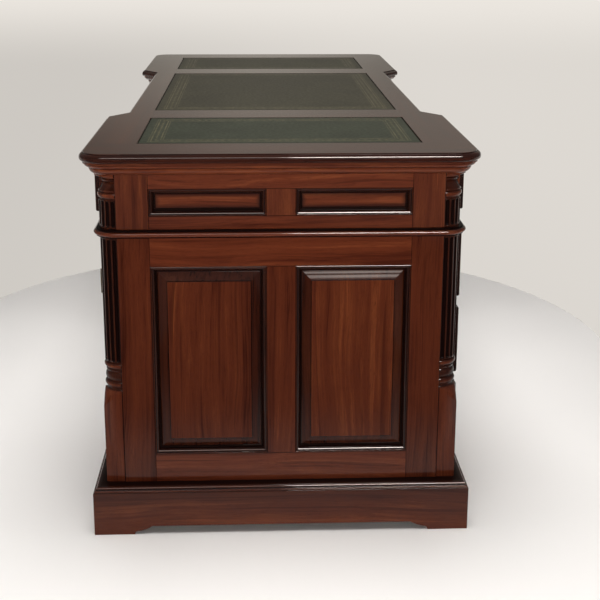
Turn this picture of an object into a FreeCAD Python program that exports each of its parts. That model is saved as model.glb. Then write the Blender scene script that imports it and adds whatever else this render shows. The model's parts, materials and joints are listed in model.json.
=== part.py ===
import FreeCAD, Part
import math
import os
import re

# A partners' pedestal desk: two pedestals on plinths carry a frieze of drawers, a cornice and a top with
# three leather panels. X runs along the desk, the drawer side faces -Y, the cupboard side faces +Y, the
# origin is on the floor below the middle of the top.

# Driving dimensions in millimetres
SIZES = {
    # Overall plan
    "desk_length": 1800.0,
    "desk_depth": 754.0,
    "end_overhang": 55.0,
    "carcass_depth": 696.0,
    "pedestal_width": 412.0,
    "centre_step": 41.0,
    # Storeys, from the floor up
    "plinth_board_height": 90.0,
    "plinth_moulding_height": 11.0,
    "pedestal_height": 509.0,
    "waist_height": 15.0,
    "frieze_height": 112.0,
    "cornice_height": 26.0,
    "top_thickness": 17.0,
    # Top board and its leathers
    "top_corner_radius": 50.0,
    "top_cant_length": 58.0,
    "top_cant_start": 462.0,
    "top_upper_round": 8.0,
    "top_lower_round": 5.0,
    "leather_margin": 117.0,
    "end_leather_length": 318.0,
    "leather_spacing": 110.0,
    "leather_width": 553.0,
    "leather_thickness": 1.5,
    "leather_sink": 0.3,
    "leather_clearance": 0.3,
    # Mouldings
    "cornice_projection": 29.0,
    "waist_projection": 13.0,
    "waist_corner_radius": 47.0,
    "waist_cant_margin": 9.5,
    "moulding_seat": 18.0,
    "glue_gap": 0.1,
    # Frames
    "frame_thickness": 20.0,
    "stile_width": 62.0,
    "muntin_width": 56.0,
    "front_stile_width": 14.5,
    "frieze_top_rail": 33.0,
    "frieze_bottom_rail": 26.0,
    "end_top_rail": 59.5,
    "end_bottom_rail": 59.0,
    "knee_panel_thickness": 16.0,
    # Panels and the mouldings round them
    "panel_edge": 6.0,
    "panel_raise": 7.0,
    "panel_field_step": 1.5,
    "panel_bevel_width": 20.0,
    "panel_moulding_width": 11.0,
    "panel_moulding_drop": 0.5,
    "panel_bevel_gap": 0.3,
    # Corner columns
    "column_radius": 37.5,
    "column_setback": 4.0,
    "column_proud": 3.5,
    "column_block_height": 192.5,
    "column_shoulder_drop": 30.0,
    "column_base_height": 59.5,
    "capital_height": 57.0,
    "flute_radius": 4.2,
    "flute_lift": 0.8,
    "flute_margin": 6.0,
    "flute_foot": 3.0,
    # Drawer openings
    "frieze_drawer_rail": 34.0,
    "frieze_drawer_head": 20.0,
    "centre_stile_width": 24.0,
    "pedestal_head_rail": 16.0,
    "drawer_between_rail": 40.0,
    "pedestal_foot_rail": 22.0,
    "upper_drawer_height": 114.0,
    "middle_drawer_height": 121.0,
    # Drawers
    "lip_overlap": 8.0,
    "lip_thickness": 9.2,
    "lip_gap": 0.3,
    "lip_round": 4.0,
    "inset_thickness": 16.0,
    "drawer_clearance": 1.0,
    "runner_gap": 0.3,
    "box_wall": 10.0,
    "box_bottom": 6.0,
    "box_bottom_lift": 6.0,
    "box_head_gap": 4.0,
    "box_back_gap": 14.0,
    # Runners and inner boards
    "runner_width": 20.0,
    "runner_height": 14.0,
    "kicker_height": 10.0,
    "guide_height": 18.0,
    "divider_thickness": 18.0,
    "partition_thickness": 20.0,
    "dust_board_thickness": 6.0,
    "floor_thickness": 14.0,
    "pedestal_top_thickness": 10.0,
    "back_partition_thickness": 12.0,
    "cupboard_depth": 236.0,
    "shelf_thickness": 14.0,
    "shelf_height": 240.0,
    "bearer_thickness": 12.0,
    "bearer_height": 16.0,
    "locating_block_width": 30.0,
    "locating_block_length": 120.0,
    "locating_clearance": 0.5,
    # Knobs
    "knob_radius": 17.0,
    "knob_projection": 19.0,
    "knob_neck_radius": 8.0,
    "knob_rose_radius": 12.0,
    "knob_rose_height": 3.0,
    "knob_head_height": 14.0,
    "centre_knob_spacing": 420.0,
    # Doors and hinges
    "door_stile_width": 50.0,
    "door_rail_width": 55.0,
    "door_knob_inset": 25.0,
    "leaf_thickness": 0.8,
    "leaf_air": 0.4,
    "leaf_width": 15.0,
    "knuckle_radius": 3.0,
    "knuckle_length": 16.0,
    "knuckle_gap": 0.3,
    "pin_radius": 1.5,
    "pin_clearance": 0.05,
    "pin_stand_off": 3.6,
    "hinge_inset": 60.0,
    # Plinths
    "plinth_end_projection": 30.5,
    "plinth_side_projection": 28.5,
    "plinth_thickness": 20.0,
    "plinth_moulding_step": 12.0,
    "plinth_seat": 18.0,
    "foot_width": 81.0,
    "foot_curve_length": 35.0,
    "arch_height": 17.5,
    # Every cut runs this far past what it cuts
    "overrun": 20.0,
}

# Places worked out from the driving dimensions
PLACES = {
    "half_length": "desk_length / 2",
    "half_depth": "desk_depth / 2",
    "end_face": "half_length - end_overhang",
    "end_back": "end_face - frame_thickness",
    "side_face": "carcass_depth / 2",
    "knee_face": "end_face - pedestal_width",
    "knee_back": "knee_face + knee_panel_thickness",
    "post_depth": "column_radius + column_setback",
    "outer_axis": "end_face - post_depth",
    "inner_axis": "knee_face + post_depth",
    "axis_depth": "side_face + column_proud - column_radius",
    "post_inner": "axis_depth - stile_width",
    "front_back": "axis_depth - frame_thickness",
    "opening_outer": "outer_axis - front_stile_width",
    "opening_inner": "inner_axis + front_stile_width",
    "block_middle": "(end_face + knee_face) / 2",
    "centre_face": "side_face - centre_step",
    "centre_back": "centre_face - frame_thickness",
    "centre_opening": "knee_face - centre_stile_width",
    "half_muntin": "muntin_width / 2",
    "half_divider": "divider_thickness / 2",
    "pedestal_bottom": "plinth_board_height + plinth_moulding_height",
    "pedestal_top": "pedestal_bottom + pedestal_height",
    "frieze_bottom": "pedestal_top + waist_height",
    "frieze_top": "frieze_bottom + frieze_height",
    "top_bottom": "frieze_top + cornice_height",
    "desk_height": "top_bottom + top_thickness",
    "frieze_panel_low": "frieze_bottom + frieze_bottom_rail",
    "frieze_panel_high": "frieze_top - frieze_top_rail",
    "end_panel_low": "pedestal_bottom + end_bottom_rail",
    "end_panel_high": "pedestal_top - end_top_rail",
    "panel_width": "post_inner - half_muntin",
    "frieze_panel_rise": "frieze_panel_high - frieze_panel_low",
    "end_panel_rise": "end_panel_high - end_panel_low",
    "frieze_low": "frieze_bottom + frieze_drawer_rail",
    "frieze_high": "frieze_top - frieze_drawer_head",
    "upper_high": "pedestal_top - pedestal_head_rail",
    "upper_low": "upper_high - upper_drawer_height",
    "middle_high": "upper_low - drawer_between_rail",
    "middle_low": "middle_high - middle_drawer_height",
    "lower_high": "middle_low - drawer_between_rail",
    "lower_low": "pedestal_bottom + pedestal_foot_rail",
    "door_gap": "2 * leaf_thickness + leaf_air",
    "door_back": "side_face - frame_thickness",
    "door_inner": "opening_inner + door_gap",
    "door_outer": "opening_outer - door_gap",
    "door_low": "lower_low + door_gap",
    "door_high": "upper_high - door_gap",
    "door_panel_width": "door_outer - door_inner - 2 * door_stile_width",
    "door_panel_rise": "door_high - door_low - 2 * door_rail_width",
    "hinge_length": "3 * knuckle_length + 2 * knuckle_gap",
    "cupboard_back": "door_back - cupboard_depth",
    "drawer_stop": "cupboard_back - back_partition_thickness",
    "shelf_low": "lower_low + shelf_height",
    "shelf_high": "shelf_low + shelf_thickness",
    "pedestal_ceiling": "pedestal_top - pedestal_top_thickness",
    "pin_place": "opening_outer - door_gap / 2",
    "pin_depth": "side_face + pin_stand_off",
    "plinth_end": "end_face + plinth_end_projection",
    "plinth_knee": "knee_face - plinth_end_projection",
    "plinth_side": "side_face + plinth_side_projection",
    "leather_bed": "leather_thickness + leather_sink",
    "centre_leather_length": "desk_length - 2 * (leather_margin + end_leather_length + leather_spacing)",
}

# Moulding and turning outlines as shares of their own width and height. A pair of points is an arc that
# passes through the first and ends at the second; widths run in from the outermost edge.
CORNICE_SHARES = (
    (1.0, 0.0),
    ((0.707, 0.135), (0.586, 0.462)),
    (0.586, 0.558),
    (0.534, 0.558),
    ((0.463, 0.748), (0.293, 0.827)),
    (0.207, 0.827),
    (0.207, 1.0),
)
WAIST_SHARES = (
    (0.385, 0.0),
    (0.385, 0.133),
    ((0.0, 0.467), (0.385, 0.8)),
    (0.385, 0.867),
    (0.538, 0.867),
    (0.538, 1.0),
)
PLINTH_SHARES = (
    (0.15, 0.0),
    ((0.22, 0.3), (0.42, 0.4)),
    ((0.58, 0.82), (1.0, 1.0)),
)
PANEL_MOULDING_SHARES = (
    (0.0, 0.0),
    (0.0, 1.0),
    (0.22, 1.0),
    (0.22, 0.86),
    ((0.6, 0.68), (0.82, 0.3)),
    (0.82, 0.15),
    (1.0, 0.15),
    (1.0, 0.0),
)
COLUMN_BASE_SHARES = (
    (0.0, 0.0),
    (0.86, 0.0),
    (0.86, 0.1),
    ((0.99, 0.215), (0.86, 0.33)),
    (0.86, 0.37),
    (0.92, 0.37),
    ((0.95, 0.5), (0.82, 0.66)),
    (0.91, 0.66),
    (0.91, 0.73),
    (0.87, 0.73),
    (0.87, 0.76),
    ((1.0, 0.865), (0.87, 0.97)),
    (0.87, 1.0),
)
SHAFT_RADIUS_SHARE = 0.96
CAPITAL_SHARES = (
    (0.9, 0.0),
    (0.9, 0.04),
    ((1.01, 0.155), (0.9, 0.27)),
    (0.9, 0.3),
    (0.98, 0.3),
    ((0.84, 0.42), (0.76, 0.57)),
    (0.7, 0.57),
    (0.7, 0.63),
    (0.82, 0.63),
    (0.82, 0.71),
    (0.74, 0.71),
    (0.74, 1.0),
    (0.0, 1.0),
)
ABACUS_START_SHARE = 0.73
ABACUS_FULL_SHARE = 0.92
ABACUS_START_RADIUS_SHARE = 0.86
FOOT_SHARES = (
    (0.0, 0.0),
    ((0.03, 0.22), (0.14, 0.39)),
    ((0.62, 0.62), (1.0, 1.0)),
)
CORNER_SEAT_SHARE = 0.9
HALF_SHARE = 0.5

FLUTES_PER_QUARTER = 5
QUARTER_TURN = 90.0
KNUCKLES_PER_HINGE = 3
UP = FreeCAD.Vector(0, 0, 1)
FLATNESS = 0.001

doc = FreeCAD.newDocument("PedestalDesk")
sizes = doc.addObject("Spreadsheet::Sheet", "Sizes")
places = doc.addObject("Spreadsheet::Sheet", "Places")


def bind(formula):
    """Name the sheet that holds each word of a formula."""
    def owner(match):
        word = match.group()
        return ("Sizes." if word in SIZES else "Places.") + word
    return re.sub(r"[a-z][a-z_]+", owner, formula)


def fill_sheet(sheet, rows):
    """Write one named value per row, its name beside it."""
    for row, (name, text) in enumerate(rows, start=1):
        sheet.set(f"A{row}", name)
        sheet.set(f"B{row}", text)
        sheet.setAlias(f"B{row}", name)


fill_sheet(sizes, [(name, str(number)) for name, number in SIZES.items()])
fill_sheet(places, [(name, "=" + bind(formula)) for name, formula in PLACES.items()])
doc.recompute()


def value(name):
    """A named value as a plain number of millimetres."""
    sheet = sizes if name in SIZES else places
    return float(sheet.get(name))


SUB_PARTS = []


def sub_part(label, item):
    """Give a finished object the name of its node."""
    item.Label = label
    SUB_PARTS.append(item)
    return item


def bind_all(item, formulas):
    """Tie properties of an object to formulas of the named values."""
    for prop, formula in formulas.items():
        item.setExpression(prop, bind(formula))
    return item


def board(x, y, z):
    """A plain board between a low and a high place along each axis."""
    box = doc.addObject("Part::Box", "Board")
    for prop, axis, (low, high) in (("Length", "x", x), ("Width", "y", y), ("Height", "z", z)):
        box.setExpression(prop, bind(f"({high}) - ({low})"))
        box.setExpression("Placement.Base." + axis, bind(low))
    return box


def upright(kind, formulas, x, y, z):
    """A round primitive on a vertical axis at a named place."""
    item = bind_all(doc.addObject("Part::" + kind, kind), formulas)
    return bind_all(item, {"Placement.Base.x": x, "Placement.Base.y": y, "Placement.Base.z": z})


def joined(members):
    """Several shapes made into one solid."""
    item = doc.addObject("Part::MultiFuse", "Joined")
    item.Shapes = members
    return item


def cut(base, tool):
    """One shape less another."""
    item = doc.addObject("Part::Cut", "Cut")
    item.Base = base
    item.Tool = tool
    return item


def group(members):
    """Separate solids kept together."""
    item = doc.addObject("Part::Compound", "Group")
    item.Links = members
    return item


def unit(axis):
    """The unit vector along an axis."""
    return FreeCAD.Vector(*(1.0 if name == axis else 0.0 for name in "xyz"))


def mirrored(source, axis, place="0"):
    """A reflection in the plane square to an axis at a named place."""
    item = doc.addObject("Part::Mirroring", "Mirrored")
    item.Source = source
    item.Normal = unit(axis)
    if place != "0":
        item.setExpression("Base." + axis, bind(place))
    return item


def both_ways(source, axis, place="0"):
    """A shape and its reflection, as a list."""
    return [source, mirrored(source, axis, place)]


def four_ways(source):
    """A shape reflected front to back and end to end, as a list."""
    pair = group(both_ways(source, "y"))
    return both_ways(pair, "x")


def turned(axis, angle):
    """A placement turned about one axis through the origin."""
    return FreeCAD.Placement(FreeCAD.Vector(), FreeCAD.Rotation(unit(axis), angle))


def feature(shape):
    """A document object that holds a worked-out shape."""
    item = doc.addObject("Part::Feature", "Shaped")
    item.Shape = shape
    return item


def sides(low, high):
    """The negative range that mirrors a range on the drawer side."""
    return (f"-({high})", f"-({low})")


def outline_wire(points, to_space):
    """A closed wire through outline points, with arcs where a point is a pair."""
    edges = []
    first = to_space(*points[0])
    last = first
    for point in points[1:]:
        if isinstance(point[0], tuple):
            via, end = (to_space(*pair) for pair in point)
            edges.append(Part.Arc(last, via, end).toShape())
        else:
            end = to_space(*point)
            edges.append(Part.makeLine(last, end))
        last = end
    edges.append(Part.makeLine(last, first))
    return Part.Wire(edges)


def scaled(shares, width, height, lift=0.0):
    """Outline points at real size from their shares."""
    def real(share):
        return (share[0] * width, share[1] * height + lift)
    return [tuple(real(pair) for pair in point) if isinstance(point[0], tuple) else real(point)
            for point in shares]


def mitred(blank, start, finish, start_cut, finish_cut, reach):
    """A length cut at both ends along plan directions from its outer corners, less half a glue gap."""
    overrun = value("overrun")
    spare = (finish - start).normalize() * (value("glue_gap") / 2)
    start, finish = start + spare, finish - spare
    box = blank.BoundBox
    corners = [start - start_cut * overrun, finish - finish_cut * overrun,
               finish + finish_cut * (reach + overrun), start + start_cut * (reach + overrun)]
    floor = [FreeCAD.Vector(corner.x, corner.y, box.ZMin - overrun) for corner in corners]
    footprint = Part.Face(Part.makePolygon(floor + floor[:1]))
    return blank.common(footprint.extrude(UP * (box.ZLength + overrun * 2)))


def straight_run(profile, start, finish, inward, start_cut, finish_cut):
    """A mitred length of moulding between two plan points, its outline's widths running inwards."""
    reach = max(point[0] for point in profile if not isinstance(point[0], tuple))
    spare = (finish - start).normalize() * (value("overrun") + reach)
    wire = outline_wire(profile, lambda width, height: start - spare + inward * width + UP * height)
    blank = Part.Face(wire).extrude(finish - start + spare * 2)
    return mitred(blank, start, finish, start_cut, finish_cut, reach)


def corner_run(profile, centre, radius):
    """A quarter turn of moulding round a vertical axis, from +X to +Y."""
    across = FreeCAD.Vector(1, 0, 0)
    wire = outline_wire(profile, lambda width, height: centre + across * (radius - width) + UP * height)
    return Part.Face(wire).revolve(centre, UP, QUARTER_TURN)


def mitre(one, other):
    """The plan direction that halves the corner between two runs, from their inward directions."""
    return (one + other) * (1.0 / (1.0 + one.dot(other)))


class Breakfront:
    """The plan of the top: wide end blocks with round corners, canted in to a narrower centre."""

    def __init__(self, end, side, centre, radius, cant_centre, cant_side):
        self.end, self.side, self.centre, self.radius = end, side, centre, radius
        self.cant_centre, self.cant_side = cant_centre, cant_side

    def corner_centre(self):
        return FreeCAD.Vector(self.end - self.radius, self.side - self.radius, 0)

    def quarter_points(self):
        """The straight-line corners of one quarter, from the centre out to the end."""
        return [FreeCAD.Vector(self.cant_centre, self.centre, 0), FreeCAD.Vector(self.cant_side, self.side, 0),
                FreeCAD.Vector(self.end - self.radius, self.side, 0),
                FreeCAD.Vector(self.end, self.side - self.radius, 0)]

    def runs(self, profile_to):
        """Every mitred length round the plan; profile_to gives the outline for each kind of run."""
        inner, outer, turn, last = self.quarter_points()
        back = FreeCAD.Vector(0, -1, 0)
        cant_way = (outer - inner).normalize()
        cant_in = FreeCAD.Vector(cant_way.y, -cant_way.x, 0)
        centre_cut, side_cut = mitre(back, cant_in), mitre(cant_in, back)
        flip_x = FreeCAD.Vector(1, 0, 0)
        flip_y = FreeCAD.Vector(0, 1, 0)
        origin = FreeCAD.Vector()
        far = FreeCAD.Vector(-inner.x, inner.y, 0)
        far_cut = FreeCAD.Vector(-centre_cut.x, centre_cut.y, 0)
        quarter = [straight_run(profile_to("cant"), inner, outer, cant_in, centre_cut, side_cut),
                   straight_run(profile_to("side"), outer, turn, back, side_cut, back),
                   corner_run(profile_to("corner"), self.corner_centre(), self.radius)]
        centre = straight_run(profile_to("centre"), far, inner, back, far_cut, centre_cut)
        near = FreeCAD.Vector(last.x, -last.y, 0)
        inward = FreeCAD.Vector(-1, 0, 0)
        end = straight_run(profile_to("end"), last, near, inward, inward, inward)
        half = quarter + [run.mirror(origin, flip_y) for run in quarter] + [end]
        return half + [run.mirror(origin, flip_x) for run in half] + [centre, centre.mirror(origin, flip_y)]


def top_plan():
    """The plan of the top at its outermost edge."""
    cant_side = value("half_length") - value("top_cant_start")
    return Breakfront(value("half_length"), value("half_depth"), value("half_depth") - value("centre_step"),
                      value("top_corner_radius"), cant_side - value("top_cant_length"), cant_side)


def waist_plan():
    """The plan of the waist moulding: its cants run parallel to the cants of the top, round the columns."""
    projection = value("waist_projection")
    cant = math.atan2(value("centre_step"), value("top_cant_length"))
    normal_x, normal_y = -math.sin(cant), math.cos(cant)
    reach = value("column_radius") + value("waist_cant_margin")
    level = normal_x * value("inner_axis") + normal_y * value("axis_depth") + reach
    side = value("side_face") + projection
    centre = value("centre_face") + projection
    return Breakfront(value("end_face") + projection, side, centre, value("waist_corner_radius"),
                      (level - normal_y * centre) / normal_x, (level - normal_y * side) / normal_x)


def seated_profile(shares, width, height, lift, seats):
    """A chooser of outlines that carries each kind of run in to its own seat."""
    def profile_to(run):
        outline = scaled(shares, width, height, lift)
        return outline + [(seats[run], lift + height), (seats[run], lift)]
    return profile_to


def make_top():
    """The top board, with rounded edges and beds for the leathers."""
    plan = top_plan()
    inner, outer, turn, last = plan.quarter_points()
    middle = plan.corner_centre() + FreeCAD.Vector(1, 1, 0).normalize() * plan.radius
    edges = []
    for flip_x, flip_y in ((1, 1), (-1, 1), (-1, -1), (1, -1)):
        at = [FreeCAD.Vector(p.x * flip_x, p.y * flip_y, 0) for p in (inner, outer, turn, middle, last)]
        edges += [Part.makeLine(at[0], at[1]), Part.makeLine(at[1], at[2]),
                  Part.Arc(at[2], at[3], at[4]).toShape()]
    for flip in (1, -1):
        edges.append(Part.makeLine(FreeCAD.Vector(flip * last.x, last.y, 0),
                                   FreeCAD.Vector(flip * last.x, -last.y, 0)))
        edges.append(Part.makeLine(FreeCAD.Vector(inner.x, flip * inner.y, 0),
                                   FreeCAD.Vector(-inner.x, flip * inner.y, 0)))
    outline = Part.Wire(Part.__sortEdges__(edges))
    outline.translate(UP * value("top_bottom"))
    slab = Part.Face(outline).extrude(UP * value("top_thickness"))
    slab = slab.makeFillet(value("top_upper_round"), level_edges(slab, value("desk_height")))
    slab = slab.makeFillet(value("top_lower_round"), level_edges(slab, value("top_bottom")))
    beds = leather_boards("0", "desk_height - leather_bed", "desk_height + overrun")
    sub_part("top_board", cut(feature(slab), group(beds)))
    sub_part("writing_leathers", group(leather_boards("leather_clearance", "desk_height - leather_bed",
                                                      "desk_height - leather_sink")))


def level_edges(shape, height):
    """The edges of a shape that lie flat at a height."""
    return [edge for edge in shape.Edges
            if edge.BoundBox.ZLength < FLATNESS and abs(edge.BoundBox.ZMin - height) < FLATNESS]


def leather_boards(clearance, low, high):
    """The three leather panels, or their beds when the clearance is nothing."""
    across = (f"{clearance} - leather_width / 2", f"leather_width / 2 - ({clearance})")
    end_start = "half_length - leather_margin - end_leather_length"
    end = board((f"{end_start} + {clearance}", f"half_length - leather_margin - ({clearance})"),
                across, (low, high))
    centre = board((f"{clearance} - centre_leather_length / 2", f"centre_leather_length / 2 - ({clearance})"),
                   across, (low, high))
    return both_ways(end, "x") + [centre]


def make_cornice():
    """The mitred frame under the top, its outer edge a stack of round, hollow and fillet."""
    seat = value("moulding_seat")
    depth = value("half_depth") - value("side_face") + seat
    seats = {"end": value("end_overhang") + seat, "side": depth, "cant": depth, "centre": depth,
             "corner": value("top_corner_radius") * CORNER_SEAT_SHARE}
    chooser = seated_profile(CORNICE_SHARES, value("cornice_projection"), value("cornice_height"),
                             value("frieze_top"), seats)
    sub_part("cornice_moulding", feature(Part.makeCompound(top_plan().runs(chooser))))


def make_waist():
    """The mitred frame between pedestals and frieze, its outer edge a bead between fillets."""
    depth = value("waist_projection") + value("moulding_seat")
    seats = dict.fromkeys(("end", "side", "cant", "centre"), depth)
    seats["corner"] = value("waist_corner_radius") * CORNER_SEAT_SHARE
    chooser = seated_profile(WAIST_SHARES, value("waist_projection"), value("waist_height"),
                             value("pedestal_top"), seats)
    sub_part("waist_moulding", feature(Part.makeCompound(waist_plan().runs(chooser))))


def corner_posts(low, high):
    """The four posts behind the corner columns of the right-hand block."""
    across = ("post_inner", "axis_depth")
    outer = board(("outer_axis", "end_face"), across, (low, high))
    inner = board(("knee_face", "inner_axis"), across, (low, high))
    return both_ways(outer, "y") + both_ways(inner, "y")


def side_stiles(low, high):
    """The narrow stiles beside the columns on both long faces of the right-hand block."""
    depth = ("front_back", "side_face")
    outer = board(("opening_outer", "outer_axis"), depth, (low, high))
    inner = board(("inner_axis", "opening_inner"), depth, (low, high))
    return both_ways(outer, "y") + both_ways(inner, "y")


def end_frame(low, high, panel_low, panel_high):
    """The rails and muntin of the right-hand end face."""
    thick = ("end_back", "end_face")
    across = ("-post_inner", "post_inner")
    return [board(thick, across, (panel_high, high)), board(thick, across, (low, panel_low)),
            board(thick, ("-half_muntin", "half_muntin"), (panel_low, panel_high))]


def make_frieze_frame():
    """The carcass that holds the frieze drawers, back to back."""
    storey = ("frieze_bottom", "frieze_top")
    low_rail = ("frieze_bottom", "frieze_low")
    head_rail = ("frieze_high", "frieze_top")
    depth = ("front_back", "side_face")
    opening = ("opening_inner", "opening_outer")
    right = corner_posts(*storey) + side_stiles(*storey)
    right += end_frame(*storey, "frieze_panel_low", "frieze_panel_high")
    for rail in (low_rail, head_rail):
        right += both_ways(board(opening, depth, rail), "y")
    partition_back = "knee_face + partition_thickness"
    spine = ("-half_divider", "half_divider")
    right.append(board(("knee_face", partition_back), ("-post_inner", "post_inner"), storey))
    right.append(board((partition_back, "end_back"), spine, storey))
    centre_depth = ("centre_back", "centre_face")
    right += both_ways(board(("centre_opening", "knee_face"), centre_depth, storey), "y")
    centre = []
    for rail in (low_rail, head_rail):
        centre += both_ways(board(("-centre_opening", "centre_opening"), centre_depth, rail), "y")
    dust_top = "frieze_bottom + dust_board_thickness"
    between = ("-knee_face", "knee_face")
    centre.append(board(between, spine, (dust_top, "frieze_top")))
    centre.append(board(between, ("-centre_back", "centre_back"), ("frieze_bottom", dust_top)))
    sub_part("frieze_frame", group(both_ways(group(right), "x") + centre))


def make_frieze_runners():
    """The strips that carry, guide and hold down each frieze drawer."""
    carry = ("frieze_low - runner_height", "frieze_low")
    guide = ("frieze_low", "frieze_low + guide_height")
    kick = ("frieze_high", "frieze_high + kicker_height")
    block_depth = ("half_divider", "front_back")
    centre_depth = ("half_divider", "centre_back")
    quarter = []
    for strip, near in ((carry, "opening_inner + runner_width"), (guide, "opening_inner"),
                        (kick, "opening_inner + runner_width")):
        quarter += both_ways(board(("inner_axis", near), block_depth, strip), "x", "block_middle")
    for strip, near in ((carry, "centre_opening - runner_width"), (guide, "centre_opening"),
                        (kick, "centre_opening - runner_width")):
        quarter.append(board((near, "knee_face"), centre_depth, strip))
    sub_part("frieze_runners", group(four_ways(group(quarter))))


def panel_moulding(width, height):
    """Four mitred lengths of moulding round the inside of a panel opening, flat in the XY plane."""
    tall = value("frame_thickness") - value("panel_moulding_drop") - value("panel_edge")
    profile = scaled(PANEL_MOULDING_SHARES, value("panel_moulding_width"), tall, value("panel_edge"))
    return rectangle_runs(-width / 2, width / 2, 0, height, lambda side: profile)


def rectangle_runs(x_low, x_high, y_low, y_high, profile_to):
    """Four mitred lengths of moulding round a rectangle, widths running inwards."""
    corners = [FreeCAD.Vector(x, y, 0) for x, y in
               ((x_low, y_low), (x_high, y_low), (x_high, y_high), (x_low, y_high))]
    inwards = [FreeCAD.Vector(x, y, 0) for x, y in ((0, 1), (-1, 0), (0, -1), (1, 0))]
    runs = []
    for index, side in enumerate(("front", "end", "back", "knee")):
        before = mitre(inwards[index - 1], inwards[index])
        after = mitre(inwards[index], inwards[(index + 1) % len(inwards)])
        runs.append(straight_run(profile_to(side), corners[index], corners[(index + 1) % len(corners)],
                                 inwards[index], before, after))
    return runs


def raised_panel(width, height):
    """A panel with a bevelled and stepped field, standing on the X axis and facing +Y."""
    margin = "(panel_moulding_width + panel_bevel_gap)"
    inset = "(panel_moulding_width + panel_bevel_gap + panel_bevel_width)"
    back = board((f"-({width}) / 2", f"({width}) / 2"), ("0", "panel_edge"), ("0", height))
    bevel = bind_all(doc.addObject("Part::Wedge", "Bevel"), {
        "Xmin": f"{margin} - ({width}) / 2", "Xmax": f"({width}) / 2 - {margin}",
        "Ymin": "panel_edge", "Ymax": "panel_edge + panel_raise",
        "Zmin": margin, "Zmax": f"{height} - {margin}",
        "X2min": f"{inset} - ({width}) / 2", "X2max": f"({width}) / 2 - {inset}",
        "Z2min": inset, "Z2max": f"{height} - {inset}"})
    field = board((f"{inset} - ({width}) / 2", f"({width}) / 2 - {inset}"),
                  ("panel_edge + panel_raise", "panel_edge + panel_raise + panel_field_step"),
                  (inset, f"{height} - {inset}"))
    return joined([back, bevel, field])


def framed_panel(panel, width, height):
    """A panel with its moulding, both standing on the X axis and facing +Y."""
    moulding = feature(Part.makeCompound(panel_moulding(value(width), value(height))))
    moulding.Placement = turned("x", QUARTER_TURN)
    facing = mirrored(moulding, "y")
    return group([panel, facing])


def on_end_face(item, across, height):
    """Turn a panel that faces +Y to face +X in the right-hand end frame."""
    item.Placement = turned("z", -QUARTER_TURN)
    return bind_all(item, {"Placement.Base.x": "end_back", "Placement.Base.y": across,
                           "Placement.Base.z": height})


def end_panels(panel, width, height, low):
    """Two framed panels side by side in each end face."""
    framed = on_end_face(framed_panel(panel, width, height), "half_muntin + panel_width / 2", low)
    return four_ways(framed)


def make_panels():
    """Sunk frieze panels, raised pedestal panels and the plain sides of the kneehole."""
    frieze_rise = "frieze_panel_rise"
    sunk = board(("-panel_width / 2", "panel_width / 2"), ("0", "panel_edge"), ("0", frieze_rise))
    sub_part("frieze_panels", group(end_panels(sunk, "panel_width", frieze_rise, "frieze_panel_low")))
    end_rise = "end_panel_rise"
    raised = raised_panel("panel_width", end_rise)
    knee = board(("knee_face", "knee_back"), ("-post_inner", "post_inner"), ("pedestal_bottom", "pedestal_top"))
    sub_part("pedestal_panels", group(end_panels(raised, "panel_width", end_rise, "end_panel_low")
                                      + both_ways(knee, "x")))


def quarter_turning(points):
    """A quarter turn of a turned outline about the vertical axis, from +X to +Y."""
    wire = outline_wire(points, lambda radius, height: FreeCAD.Vector(radius, 0, height))
    return Part.Face(wire).revolve(FreeCAD.Vector(), UP, QUARTER_TURN)


def flutes(radius, low, high):
    """Round-ended channels down a quarter shaft."""
    channel_radius = value("flute_radius")
    out = radius + value("flute_lift")
    channels = []
    for index in range(FLUTES_PER_QUARTER):
        turn = math.radians(QUARTER_TURN * (index + HALF_SHARE) / FLUTES_PER_QUARTER)
        foot = FreeCAD.Vector(out * math.cos(turn), out * math.sin(turn), low + channel_radius)
        head = FreeCAD.Vector(foot.x, foot.y, high - channel_radius)
        barrel = Part.makeCylinder(channel_radius, head.z - foot.z, foot)
        ends = [Part.makeSphere(channel_radius, point) for point in (foot, head)]
        channels.append(barrel.fuse(ends))
    return channels


def square_shoulder(low, high, radius_low, radius_high):
    """A square quarter block whose corner is turned away to a cone between two heights."""
    side = value("column_radius")
    block = Part.makeBox(side, side, high - low, UP * low)
    cone = Part.makeCone(radius_low, radius_high, high - low, UP * low)
    return block.common(cone)


def frieze_column():
    """A short fluted quarter shaft under a turned capital and a square abacus."""
    radius, capital = value("column_radius"), value("capital_height")
    shaft_radius = radius * SHAFT_RADIUS_SHARE
    shaft_top = value("frieze_height") - capital
    outline = [(0.0, 0.0), (shaft_radius, 0.0), (shaft_radius, shaft_top)]
    column = quarter_turning(outline + scaled(CAPITAL_SHARES, radius, capital, shaft_top))
    column = column.cut(flutes(shaft_radius, value("flute_foot"), shaft_top - value("flute_lift")))
    start = shaft_top + capital * ABACUS_START_SHARE
    full = shaft_top + capital * ABACUS_FULL_SHARE
    flare = square_shoulder(start, full, radius * ABACUS_START_RADIUS_SHARE, math.hypot(radius, radius))
    cap = Part.makeBox(radius, radius, value("frieze_height") - full, UP * full)
    return column.fuse([flare, cap]).removeSplitter()


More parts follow.
